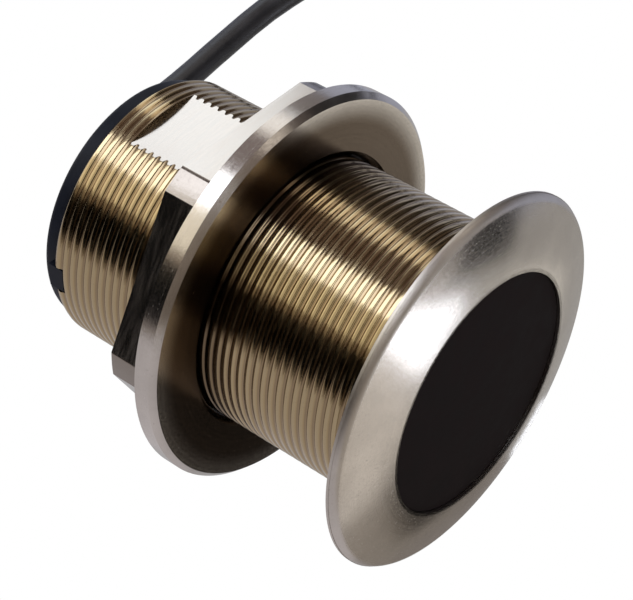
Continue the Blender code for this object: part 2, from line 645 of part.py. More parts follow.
def build_rear(materials):
    """Epoxy plug, rear cap with its key, and the seal in the cap's groove."""
    lead = BOARD_LEAD_RADIUS + CLEARANCE
    outline = [(lead, REAR_POTTING_START), (FILL_RADIUS, REAR_POTTING_START)]
    outline += [(FILL_RADIUS, REAR_POTTING_TOP), (CABLE_BORE_RADIUS, REAR_POTTING_TOP)]
    outline += [(CABLE_BORE_RADIUS, SHEATH_START), (lead, SHEATH_START)]
    add_object("rear_potting", turned(outline, INNER_STEPS), materials["epoxy"])
    hole = RELIEF_RADIUS + CLEARANCE
    groove = CAP_START + SEAL_GROOVE_START
    groove_radius = FILL_RADIUS - SEAL_GROOVE_DEPTH
    outline = [(hole, CAP_START), (FILL_RADIUS, CAP_START), (FILL_RADIUS, groove)]
    outline += [(groove_radius, groove), (groove_radius, groove + SEAL_GROOVE_WIDTH)]
    outline += [(FILL_RADIUS, groove + SEAL_GROOVE_WIDTH), (FILL_RADIUS, CAP_SEAT)]
    outline.append((CAP_RADIUS, CAP_SEAT))
    outline += arc((CAP_RADIUS - CAP_EDGE, CAP_TOP - CAP_EDGE), CAP_EDGE, 0.0, 90.0, CORNER_STEPS)
    outline.append((hole, CAP_TOP))
    cap = add_object("rear_cap", turned(outline, ROUND_STEPS), materials["plastic"])
    inner = FILL_RADIUS - CLEARANCE
    outer = STEM_RADIUS - CLEARANCE
    low = STEM_END - KEY_NOTCH_DEPTH + CLEARANCE
    high = CAP_SEAT + CLEARANCE
    centre = ((inner + outer) / 2.0, 0.0, (low + high) / 2.0)
    size = (outer - inner, KEY_NOTCH_WIDTH - 2.0 * CLEARANCE, high - low)
    cut(cap, "cap_key", key_block(centre, size), operation="UNION")
    section = (BORE_RADIUS - CLEARANCE - groove_radius - CLEARANCE) / 2.0
    middle = (groove_radius + CLEARANCE + section, groove + SEAL_GROOVE_WIDTH / 2.0)
    outline = arc(middle, section, 0.0, 360.0, SEAL_STEPS)[:-1]
    add_object("cap_seal", turned(outline, INNER_STEPS), materials["rubber"])


def cable_route():
    """Return the points of the cable from inside the potting to its first turn on the coil."""
    exit_point = Vector((0.0, 0.0, CAP_TOP))
    straight = [Vector((0.0, 0.0, SHEATH_START + CLEARANCE)), Vector((0.0, 0.0, CAP_START))]
    rise = [exit_point + point for point in RISE_ROUTE]
    return smooth_route(straight + rise + FALL_ROUTE, CABLE_STEP)


def build_strain_relief(points, rubber):
    """Moulded sleeve that passes through the cap and tapers along the cable's bend."""
    up = Vector((0.0, 0.0, 1.0))
    side = Vector((-1.0, 1.0, 0.0)).normalized()
    lip_height = CAP_TOP + CLEARANCE + RELIEF_LIP_HEIGHT
    stations = [(Vector((0.0, 0.0, CAP_START)), up, RELIEF_RADIUS)]
    stations.append((Vector((0.0, 0.0, CAP_TOP + CLEARANCE)), up, RELIEF_RADIUS))
    lip_radius = CABLE_BORE_RADIUS + RELIEF_LIP_WALL
    stations.append((Vector((0.0, 0.0, CAP_TOP + CLEARANCE)), up, lip_radius))
    stations.append((Vector((0.0, 0.0, lip_height)), up, lip_radius))
    travelled = 0.0
    for before, here, after in zip(points, points[1:], points[2:]):
        if here.z <= lip_height + CLEARANCE:
            continue
        travelled += (here - before).length
        if travelled > RELIEF_LENGTH:
            break
        direction = ((here - before).normalized() + (after - here).normalized()).normalized()
        wall = RELIEF_WALL + (RELIEF_TIP_WALL - RELIEF_WALL) * travelled / RELIEF_LENGTH
        stations.append((here, direction, CABLE_BORE_RADIUS + wall))
    outer = [ring_across(*station[:2], side, station[2], SMALL_STEPS) for station in stations]
    bore = [stations[0], stations[1]] + stations[4:]
    inner = [ring_across(*station[:2], side, CABLE_BORE_RADIUS, SMALL_STEPS) for station in bore]
    add_object("strain_relief", loft(outer + inner[::-1], closed=True), rubber)


def build_coil(jacket, tie_material):
    """The rest of the cable as one ring, with two ties round it."""
    inner = COIL_OUTER_RADIUS - COIL_WIDTH
    outer = COIL_OUTER_RADIUS
    outline = arc((outer - COIL_EDGE, COIL_START + COIL_EDGE), COIL_EDGE, -90.0, 0.0, CORNER_STEPS)
    outline += arc((outer - COIL_EDGE, COIL_TOP - COIL_EDGE), COIL_EDGE, 0.0, 90.0, CORNER_STEPS)
    outline += arc((inner + COIL_EDGE, COIL_TOP - COIL_EDGE), COIL_EDGE, 90.0, 180.0, CORNER_STEPS)
    outline += arc((inner + COIL_EDGE, COIL_START + COIL_EDGE), COIL_EDGE, 180.0, 270.0, CORNER_STEPS)
    shape = turned(outline, INNER_STEPS)
    bmesh.ops.translate(shape, verts=shape.verts, vec=COIL_CENTRE)
    add_object("cable_coil", shape, jacket)
    wall = math.sqrt(inner**2 - (TIE_WIDTH / 2.0) ** 2)
    low = (wall - CLEARANCE, COIL_START - CLEARANCE)
    high = (outer + CLEARANCE, COIL_TOP + CLEARANCE)
    for name, angle in TIE_ANGLES.items():
        add_tie(name, low, high, angle, tie_material)


def add_tie(name, low, high, angle, material):
    """Add a flat band with round corners that goes round the coil's section."""
    corner = TIE_CORNER - TIE_THICKNESS / 2.0
    outline = []
    for centre, first in (
        ((high[0] - corner, high[1] - corner), 0.0),
        ((low[0] + corner, high[1] - corner), 90.0),
        ((low[0] + corner, low[1] + corner), 180.0),
        ((high[0] - corner, low[1] + corner), 270.0),
    ):
        outline += arc(centre, corner, first, first + 90.0, CORNER_STEPS)
    shape = bmesh.new()
    half = TIE_WIDTH / 2.0
    verts = [shape.verts.new((radius, -half, height)) for radius, height in outline]
    edges = [shape.edges.new(pair) for pair in zip(verts, verts[1:] + verts[:1])]
    grown = bmesh.ops.extrude_edge_only(shape, edges=edges)["geom"]
    moved = [item for item in grown if isinstance(item, bmesh.types.BMVert)]
    bmesh.ops.translate(shape, verts=moved, vec=(0.0, TIE_WIDTH, 0.0))
    placing = Matrix.Translation(COIL_CENTRE) @ Matrix.Rotation(math.radians(angle), 4, "Z")
    bmesh.ops.transform(shape, matrix=placing, verts=shape.verts)
    bmesh.ops.recalc_face_normals(shape, faces=shape.faces)
    centre = placing @ Vector(((low[0] + high[0]) / 2.0, 0.0, (low[1] + high[1]) / 2.0))
    face = shape.faces[:][0]
    inwards = face.normal.dot(face.calc_center_median() - centre) < 0.0
    if inwards:
        bmesh.ops.reverse_faces(shape, faces=shape.faces)
    bmesh.ops.solidify(shape, geom=shape.faces, thickness=-TIE_THICKNESS)
    add_object(name, shape, material)


def tail_route():
    """Return the points of the cable's end: a quarter turn on the coil, up into the boot."""
    low = COIL_TOP + CLEARANCE + CABLE_RADIUS
    knots = [COIL_CENTRE + Vector((LAST_TURN_RADIUS, 0.0, low))]
    for index in range(1, TAIL_STEPS + 1):
        share = index / TAIL_STEPS
        turn = math.radians(-90.0 * share)
        height = low + (PLUG_HEIGHT - low) * share * share * (3.0 - 2.0 * share)
        reach = Vector((math.cos(turn), math.sin(turn), 0.0)) * TAIL_TURN_RADIUS
        knots.append(TAIL_TURN_CENTRE + reach + Vector((0.0, 0.0, height)))
    end = PLUG_START - Vector((BOOT_BORE_DEPTH - CLEARANCE, 0.0, 0.0))
    return smooth_route(knots + [end], CABLE_STEP)


def plug_placing():
    """Return the matrix that lays a plug piece, turned about Z, down on the coil."""
    return Matrix.Translation(PLUG_START) @ Matrix.Rotation(math.radians(-90.0), 4, "Y")


def build_plug(materials):
    """Round connector: boot, grip body, screw collar, contact insert, seal and pins."""
    outline = [(0.0, BOOT_BORE_DEPTH), (CABLE_BORE_RADIUS, BOOT_BORE_DEPTH), (CABLE_BORE_RADIUS, 0.0)]
    outline += [(BOOT_TIP_RADIUS, 0.0), (BOOT_RADIUS, BOOT_LENGTH - GRIP_EDGE)]
    outline += [(BOOT_RADIUS, BOOT_LENGTH), (0.0, BOOT_LENGTH)]
    add_plug_piece("plug_boot", turned(outline, SMALL_STEPS), materials["rubber"])
    retainer_end = RETAINER_START + RETAINER_WIDTH
    outline = [(0.0, GRIP_START), (GRIP_RADIUS - GRIP_EDGE, GRIP_START)]
    outline += [(GRIP_RADIUS, GRIP_START + GRIP_EDGE), (GRIP_RADIUS, BARREL_START)]
    outline += [(BARREL_RADIUS, BARREL_START), (BARREL_RADIUS, RETAINER_START)]
    outline += [(RETAINER_RADIUS, RETAINER_START), (RETAINER_RADIUS, retainer_end)]
    outline += [(BARREL_RADIUS, retainer_end), (BARREL_RADIUS, BARREL_END)]
    outline += [(BARREL_CAVITY_RADIUS, BARREL_END), (BARREL_CAVITY_RADIUS, CAVITY_START)]
    outline.append((0.0, CAVITY_START))
    add_plug_piece("plug_body", turned(outline, SMALL_STEPS), materials["plastic"])
    add_plug_piece("plug_collar", collar_shape(), materials["plastic"])
    middle = (BARREL_RADIUS + CLEARANCE + PLUG_SEAL_RADIUS, retainer_end + CLEARANCE + PLUG_SEAL_RADIUS)
    outline = arc(middle, PLUG_SEAL_RADIUS, 0.0, 360.0, SEAL_STEPS)[:-1]
    add_plug_piece("plug_seal", turned(outline, SMALL_STEPS), materials["rubber"])
    add_insert_and_pins(materials)


def add_plug_piece(name, shape, material):
    """Add a piece of the plug, with its origin at the start of the boot on the plug's axis."""
    piece = add_object(name, shape, material)
    piece.matrix_world = plug_placing()
    return piece


def collar_shape():
    """Return the screw collar: ribbed outside, with a rear wall that runs on the barrel."""
    end = BARREL_END + COLLAR_OVERHANG
    outline = [(COLLAR_BORE_RADIUS, COLLAR_START), (COLLAR_RADIUS - COLLAR_EDGE, COLLAR_START)]
    outline += [(COLLAR_RADIUS, COLLAR_START + COLLAR_EDGE), (COLLAR_RADIUS, end - COLLAR_EDGE)]
    outline += [(COLLAR_RADIUS - COLLAR_EDGE, end), (COLLAR_CAVITY_RADIUS, end)]
    outline.append((COLLAR_CAVITY_RADIUS, COLLAR_START + COLLAR_REAR_WALL))
    outline.append((COLLAR_BORE_RADIUS, COLLAR_START + COLLAR_REAR_WALL))
    shape = turned(outline, INNER_STEPS)
    for vert in shape.verts:
        radius = vert.co.xy.length
        if radius < COLLAR_RADIUS - MERGE:
            continue
        index = round(math.atan2(vert.co.y, vert.co.x) * INNER_STEPS / math.tau)
        if index % 2:
            vert.co.xy *= (radius - COLLAR_GROOVE_DEPTH) / radius
    return shape


def add_insert_and_pins(materials):
    """Add the contact insert with its holes, and a pin in each hole."""
    radius = BARREL_CAVITY_RADIUS - CLEARANCE
    disc = rod(radius, INSERT_START, INSERT_END, SMALL_STEPS)
    insert = add_plug_piece("plug_insert", disc, materials["plastic"])
    places = [(0.0, 0.0)]
    for index in range(PIN_COUNT):
        turn = math.tau * index / PIN_COUNT
        places.append((PIN_CIRCLE_RADIUS * math.cos(turn), PIN_CIRCLE_RADIUS * math.sin(turn)))
    low = INSERT_START - CLEARANCE
    high = INSERT_END + CLEARANCE
    for index, place in enumerate(places):
        shape = rod(PIN_RADIUS + CLEARANCE, low, high, WIRE_STEPS, place)
        cutter = cut(insert, f"pin_hole_cutter_{index}", shape)
        cutter.matrix_world = plug_placing()
        shape = rod(PIN_RADIUS, INSERT_START, INSERT_END + PIN_REACH, WIRE_STEPS, place)
        add_plug_piece(f"plug_pin_{index + 1}", shape, materials["brass"])


def clear_scene():
    """Remove what the scene holds before the part is built."""
    for old in list(bpy.data.objects):
        bpy.data.objects.remove(old, do_unlink=True)


def build():
    """Build every piece of the transducer."""
    clear_scene()
    materials = {
        "bronze": make_material("bronze", (0.36, 0.31, 0.25), 0.35, 1.0),
        "urethane": make_material("urethane", (0.012, 0.009, 0.010), 0.6),
        "plastic": make_material("plastic", (0.015, 0.016, 0.020), 0.45),
        "rubber": make_material("rubber", (0.014, 0.014, 0.017), 0.6),
        "jacket": make_material("cable_jacket", (0.016, 0.016, 0.020), 0.4),
        "foam": make_material("syntactic_foam", (0.55, 0.42, 0.26), 0.9),
        "ceramic": make_material("piezo_ceramic", (0.62, 0.58, 0.48), 0.5),
        "epoxy": make_material("epoxy", (0.10, 0.05, 0.02), 0.3),
        "board": make_material("circuit_board", (0.02, 0.12, 0.05), 0.4),
        "ferrite": make_material("ferrite", (0.05, 0.05, 0.055), 0.6),
        "copper": make_material("copper_wire", (0.55, 0.22, 0.10), 0.3, 1.0),
        "wire": make_material("wire_insulation", (0.35, 0.04, 0.03), 0.5),
        "bead": make_material("sensor_bead", (0.20, 0.12, 0.06), 0.35),
        "brass": make_material("brass_pin", (0.62, 0.47, 0.20), 0.25, 1.0),
        "tie": make_material("hook_and_loop", (0.03, 0.03, 0.03), 0.9),
    }
    tilt = bpy.data.objects.new("element_axis", None)
    bpy.context.scene.collection.objects.link(tilt)
    tilt.location = (0.0, 0.0, POCKET_HEIGHT)
    tilt.rotation_euler = (0.0, math.radians(ELEMENT_TILT), 0.0)
    build_housing(materials["bronze"])
    build_hull_nut(materials["bronze"])
    build_window(materials["urethane"], tilt)
    build_element(tilt, materials)
    build_potting_and_board(tilt, materials)
    build_board_parts(materials)
    build_rear(materials)
    points = cable_route()
    add_cord("cable", points, materials["jacket"])
    build_strain_relief(points, materials["rubber"])
    build_coil(materials["jacket"], materials["tie"])
    add_cord("cable_tail", tail_route(), materials["jacket"])
    build_plug(materials)


build()
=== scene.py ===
# Bronze through-hull sonar transducer: the finish of every piece, its threads, its cable and the stage.

import json
import math

import bmesh
import bpy
from mathutils import Matrix, Vector


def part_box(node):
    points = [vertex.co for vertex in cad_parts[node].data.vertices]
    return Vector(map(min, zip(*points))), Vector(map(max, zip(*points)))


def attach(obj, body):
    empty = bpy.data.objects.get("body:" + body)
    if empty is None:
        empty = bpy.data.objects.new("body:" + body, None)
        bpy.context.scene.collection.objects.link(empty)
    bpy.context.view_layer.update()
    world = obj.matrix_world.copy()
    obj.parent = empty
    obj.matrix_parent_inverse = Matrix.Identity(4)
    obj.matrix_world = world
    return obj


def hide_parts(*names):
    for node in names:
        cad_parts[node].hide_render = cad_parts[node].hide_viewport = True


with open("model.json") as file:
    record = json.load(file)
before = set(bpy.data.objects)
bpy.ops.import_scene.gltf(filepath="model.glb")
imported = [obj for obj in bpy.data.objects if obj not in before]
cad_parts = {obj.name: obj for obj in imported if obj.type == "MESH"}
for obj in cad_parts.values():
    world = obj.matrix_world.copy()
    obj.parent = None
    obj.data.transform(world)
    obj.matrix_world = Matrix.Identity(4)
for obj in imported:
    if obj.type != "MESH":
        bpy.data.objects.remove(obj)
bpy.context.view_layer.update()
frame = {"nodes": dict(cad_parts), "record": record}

bl_info = {
    "name": "Through-hull sonar transducer",
    "version": (1, 0, 0),
    "blender": (4, 5, 0),
    "location": "View3D > Sidebar > Transducer",
    "description": "Dresses a bronze through-hull sonar transducer and lights it",
    "category": "Add Mesh",
}

GAP = 0.0003
MERGE = 0.000001
TURN_MERGE = 0.000004
CUT_MERGE = 0.0000001
SHARP = 35.0
BRONZE_SHARP = 28.0
RIBBED_SHARP = 40.0
TIE_SHARP = 50.0
ROUND_STEPS = 192
PLUG_STEPS = 64
THREAD_STEPS = 128
FLANK_STEPS = 4

HOUSING_LOW, HOUSING_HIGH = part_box("housing")
NUT_LOW, NUT_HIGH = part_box("hull_nut")
WINDOW_LOW, WINDOW_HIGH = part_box("acoustic_window")
CAP_LOW, CAP_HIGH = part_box("rear_cap")
COIL_LOW, COIL_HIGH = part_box("cable_coil")
BOOT_LOW, BOOT_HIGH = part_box("plug_boot")
GRIP_LOW, GRIP_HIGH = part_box("plug_body")
COLLAR_LOW, COLLAR_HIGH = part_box("plug_collar")
INSERT_LOW, INSERT_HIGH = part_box("plug_insert")
HULL_SEAT = next(m for m in frame["record"]["mounts"] if m["name"] == "hull_seat")["pos_m"][2]


def length(name, size, note):
    """Return a length setting for the panel."""
    return bpy.props.FloatProperty(
        name=name, description=note, default=size, unit="LENGTH", subtype="DISTANCE", precision=5
    )


def tint(name, colour, note):
    """Return a colour setting for the panel."""
    return bpy.props.FloatVectorProperty(
        name=name, description=note, default=colour, size=3, subtype="COLOR", min=0.0, max=1.0
    )


def direction(name, degrees, note):
    """Return an angle setting for the panel."""
    return bpy.props.FloatProperty(name=name, description=note, default=math.radians(degrees), subtype="ANGLE")


class TransducerSizes(bpy.types.PropertyGroup):
    """Sizes of the dressed pieces."""

    stem_radius: length("Stem radius", 0.0254, "Thread's crest")
    bore_radius: length("Bore radius", 0.0208, "Inside of the stem")
    thread_pitch: length("Thread pitch", 0.0254 / 15, "One turn of the stem's thread")
    thread_depth: length("Thread depth", 0.00025, "Crest to root")
    thread_crest: length("Crest width", 0.0005, "Flat top of the thread")
    thread_root: length("Root width", 0.0003, "Flat bottom of the thread")
    lip_radius: length("Lip radius", 0.0232, "Outside of the flat lip round the window")
    recess_radius: length("Recess radius", 0.0226, "Inside of the lip")
    recess_depth: length("Recess depth", 0.005, "Depth of the window's seat")
    window_edge: length("Window edge", 0.0002, "Rounding of the window's face")
    window_gap: length("Window gap", 0.00004, "Between the window and the lip")
    rim_start: length("Rim start", 0.00328, "Height where the bevel would meet the flange's rim")
    rim_round: length("Rim round", 0.0018, "Rounding between the bevel and the rim")
    rim_edge: length("Rim edge", 0.0003, "Rounding of the rim's rear edge")
    stem_chamfer: length("Stem chamfer", 0.0009, "Chamfer at the stem's rear end")
    flat_distance: length("Wrench flat distance", 0.024, "From the axis to a wrench flat")
    flat_start: length("Wrench flat start", 0.044, "Front end of the wrench flats")
    flat_end: length("Wrench flat end", 0.06967, "Rear end of the wrench flats")
    notch_width: length("Key notch width", 0.0055, "Notch in the stem's rear end")
    notch_depth: length("Key notch depth", 0.0024, "Notch in the stem's rear end")
    washer_radius: length("Washer radius", 0.03734, "Round flange of the hull nut")
    washer_thickness: length("Washer thickness", 0.00409, "Round flange of the hull nut")
    washer_chamfer: length("Washer chamfer", 0.00105, "Front edge of the hull nut")
    corner_radius: length("Corner radius", 0.03437, "Turned corners of the hexagon")
    across_flats: length("Across flats", 0.06194, "Hexagon of the hull nut")
    # Painted shade: how far out from the stem the nut's face is darkened
    painted_shade_reach: length("Painted shade reach", 0.0125, "From the stem out over the nut's face")
    # Painted shade: how far in front of the nut the stem's thread is darkened
    painted_shade_stem_reach: length("Painted shade reach on stem", 0.007, "Painted shade on the stem in front of the nut")
    nut_bore_chamfer: length("Nut bore chamfer", 0.001, "At both ends of the nut's bore")
    nut_bevel: length("Nut bevel", 0.00022, "Broken edges of the hull nut")
    cap_edge: length("Cap edge", 0.0012, "Rounding of the rear cap")
    relief_radius: length("Strain relief radius", 0.0044, "Where it leaves the cap")
    relief_tip_radius: length("Strain relief tip", 0.0035, "Where the cable leaves it")
    relief_length: length("Strain relief length", 0.012, "Along the cable's bend")


class TransducerAngles(bpy.types.PropertyGroup):
    """Where the flats, hexagon and key stand round the stem."""

    wrench_flat: direction("Wrench flat", -53.5, "Direction of one wrench flat")
    hexagon: direction("Hexagon", -110.1, "Direction of one flat of the nut")
    key: direction("Key", -139.75, "Direction of the cap's key")


class CableSizes(bpy.types.PropertyGroup):
    """Sizes of the cable and its coil."""

    diameter: length("Diameter", 0.0052, "Outside of the cable's jacket")
    coil_pitch: length("Coil pitch", 0.0053, "From one turn of the coil to the next")
    coil_radius: length("Coil radius", 0.034, "Middle of the coil's turns")
    columns: bpy.props.IntProperty(name="Columns", description="Turns side by side", default=6, min=1)
    rows: bpy.props.IntProperty(name="Rows", description="Turns above each other", default=6, min=1)
    cord_length: length("Length", 7.8, "From the potting to the plug")
    tail_turn: length("Tail turn", 0.020, "Radius of the last bend before the plug")


class TransducerColours(bpy.types.PropertyGroup):
    """Colours of the finishes."""

    turned_bronze: tint("Turned bronze", (0.61, 0.56, 0.50), "Faces of the flange and the nut")
    thread_bronze: tint("Thread bronze", (0.40, 0.30, 0.165), "Flanks of the thread")
    crest_bronze: tint("Crest bronze", (0.43, 0.335, 0.195), "Worn crests of the thread")
    root_bronze: tint("Root bronze", (0.30, 0.22, 0.13), "Stained root of the thread")
    # Painted shade colour: darkens the nut's face near the stem and the stem's thread in front of and under
    # the nut
    painted_shade: tint("Painted shade", (0.10, 0.07, 0.045), "Face of the nut close to the stem")
    urethane: tint("Urethane", (0.008, 0.005, 0.005), "Face of the transducer")
    cap: tint("Cap", (0.004, 0.005, 0.009), "Rear cap and key")
    jacket: tint("Jacket", (0.013, 0.012, 0.014), "Cable")
    plug: tint("Plug", (0.018, 0.018, 0.020), "Plug's hard plastic")


def sizes():
    """Return the piece sizes of the scene."""
    return bpy.context.scene.transducer_sizes


def cable_sizes():
    """Return the cable sizes of the scene."""
    return bpy.context.scene.transducer_cable


def colours():
    """Return the colours of the scene."""
    return bpy.context.scene.transducer_colours


# Shapes

def ease(share):
    """Return a share from 0 to 1 with a soft start and a soft end."""
    return share * share * (3.0 - 2.0 * share)


def chain(shape, points):
    """Add a row of edges through the points, and return its vertices and edges."""
    verts = [shape.verts.new(point) for point in points]
    edges = [shape.edges.new(pair) for pair in zip(verts, verts[1:])]
    return verts, edges


def spin_round(shape, geom, angle, steps, **settings):
    """Spin geometry about Z."""
    centre = (0.0, 0.0, 0.0)
    axis = (0.0, 0.0, 1.0)
    bmesh.ops.spin(shape, geom=geom, cent=centre, axis=axis, angle=angle, steps=steps, **settings)


def move_new(shape, made, way):
    """Move the vertices among newly made geometry."""
    verts = [item for item in made if isinstance(item, bmesh.types.BMVert)]
    bmesh.ops.translate(shape, verts=verts, vec=way)


def turned(outline, steps, place=None):
    """Spin an outline of (radius, height) points about Z. Ends on the axis are closed there."""
    shape = bmesh.new()
    verts, edges = chain(shape, [(radius, 0.0, height) for radius, height in outline])
    if outline[0][0] > 0.0:
        edges.append(shape.edges.new((verts[-1], verts[0])))
    spin_round(shape, verts + edges, math.tau, steps, use_merge=True)
    bmesh.ops.remove_doubles(shape, verts=shape.verts, dist=MERGE)
    if place:
        bmesh.ops.transform(shape, matrix=place, verts=shape.verts)
    bmesh.ops.recalc_face_normals(shape, faces=shape.faces)
    return shape


def arc(centre, radius, first, last, steps):
    """Return points on an arc in an outline's (radius, height) plane, with angles in degrees."""
    angles = [math.radians(first + (last - first) * step / steps) for step in range(steps + 1)]
    return [(centre[0] + radius * math.cos(a), centre[1] + radius * math.sin(a)) for a in angles]


def block(low, high, turn=0.0):
    """Return a box between two corners, turned about Z."""
    shape = bmesh.new()
    low = Vector(low)
    high = Vector(high)
    placing = Matrix.Translation((low + high) / 2.0) @ Matrix.Diagonal((*(high - low), 1.0))
    bmesh.ops.create_cube(shape, size=1.0, matrix=placing)
    bmesh.ops.transform(shape, matrix=Matrix.Rotation(turn, 4, "Z"), verts=shape.verts)
    return shape


def add_piece(name, shape, material=None, sharp=SHARP):
    """Turn a bmesh into an object with smooth round faces."""
    mesh = bpy.data.meshes.new(name)
    shape.to_mesh(mesh)
    shape.free()
    mesh.shade_smooth()
    mesh.set_sharp_from_angle(angle=math.radians(sharp))
    piece = bpy.data.objects.new(name, mesh)
    bpy.context.scene.collection.objects.link(piece)
    if material:
        mesh.materials.append(material)
    return piece


def boolean(piece, shape, operation="DIFFERENCE"):
    """Join or cut a shape with a piece, and keep the result as its mesh."""
    other = add_piece("cutter", shape)
    modifier = piece.modifiers.new("Cut", "BOOLEAN")
    modifier.object = other
    modifier.operation = operation
    modifier.solver = "MANIFOLD"
    keep_modifiers(piece)
    bpy.data.objects.remove(other)


def keep_modifiers(piece):
    """Replace a piece's mesh by its modified one."""
    graph = bpy.context.evaluated_depsgraph_get()
    graph.update()
    made = bpy.data.meshes.new_from_object(piece.evaluated_get(graph))
    piece.modifiers.clear()
    piece.data = made


def finish_cut(piece, sharp, *materials):
    """Shade a cut piece smooth apart from its sharp edges, and give it its materials."""
    piece.data.shade_smooth()
    piece.data.set_sharp_from_angle(angle=math.radians(sharp))
    piece.data.materials.clear()
    for material in materials:
        piece.data.materials.append(material)
    piece.data.polygons.foreach_set("material_index", [0] * len(piece.data.polygons))


def sharpen_borders(piece):
    """Make the edges between two finishes sharp."""
    shape = bmesh.new()
    shape.from_mesh(piece.data)
    for edge in shape.edges:
        if len({face.material_index for face in edge.link_faces}) > 1:
            edge.smooth = False
    shape.to_mesh(piece.data)
    shape.free()


def dress(piece, body, slot, *nodes):
    """Let a piece ride on its body and stand for its CAD nodes."""
    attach(piece, body)
    if nodes:
        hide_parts(*nodes)


def smooth_route(knots, step):
    """Return points a step apart on a smooth curve through the knots."""
    knots = [knots[0] * 2.0 - knots[1]] + knots + [knots[-1] * 2.0 - knots[-2]]
    ticks = 24
    fine = []
    for before, start, end, after in zip(knots, knots[1:], knots[2:], knots[3:]):
        spans = [(b - a).length ** 0.5 for a, b in ((before, start), (start, end), (end, after))]
        leave = (start - before) / spans[0] - (end - before) / (spans[0] + spans[1])
        leave = (leave + (end - start) / spans[1]) * spans[1]
        arrive = (end - start) / spans[1] - (after - start) / (spans[1] + spans[2])
        arrive = (arrive + (after - end) / spans[2]) * spans[1]
        for tick in range(ticks):
            t = tick / ticks
            fine.append(
                start * (2.0 * t**3 - 3.0 * t**2 + 1.0)
                + leave * (t**3 - 2.0 * t**2 + t)
                + end * (3.0 * t**2 - 2.0 * t**3)
                + arrive * (t**3 - t**2)
            )
    fine.append(knots[-2])
    lengths = [0.0]
    for start, end in zip(fine, fine[1:]):
        lengths.append(lengths[-1] + (end - start).length)
    count = max(2, round(lengths[-1] / step))
    points = []
    index = 0
    for tick in range(count + 1):
        target = lengths[-1] * tick / count
        while index < len(fine) - 2 and lengths[index + 1] < target:
            index += 1
        share = (target - lengths[index]) / (lengths[index + 1] - lengths[index])
        points.append(fine[index].lerp(fine[index + 1], share))
    return points


def add_cord(name, points, radius, material, swell=None):
    """Lay a round cord through the points. Swell gives its radius at each point as a share."""
    curve = bpy.data.curves.new(name, "CURVE")
    curve.dimensions = "3D"
    curve.bevel_depth = radius
    curve.bevel_resolution = 4
    curve.use_fill_caps = True
    spline = curve.splines.new("POLY")
    spline.points.add(len(points) - 1)
    for index, point in enumerate(points):
        spline.points[index].co = (*point, 1.0)
        if swell:
            spline.points[index].radius = swell[index]
    spline.use_smooth = True
    curve.materials.append(material)
    cord = bpy.data.objects.new(name, curve)
    bpy.context.scene.collection.objects.link(cord)
    return cord


# Materials

NOISE_ROUGHNESS = 0.55


def share_of(colour, share):
    """Return a colour made darker or lighter."""
    return [channel * share for channel in colour]


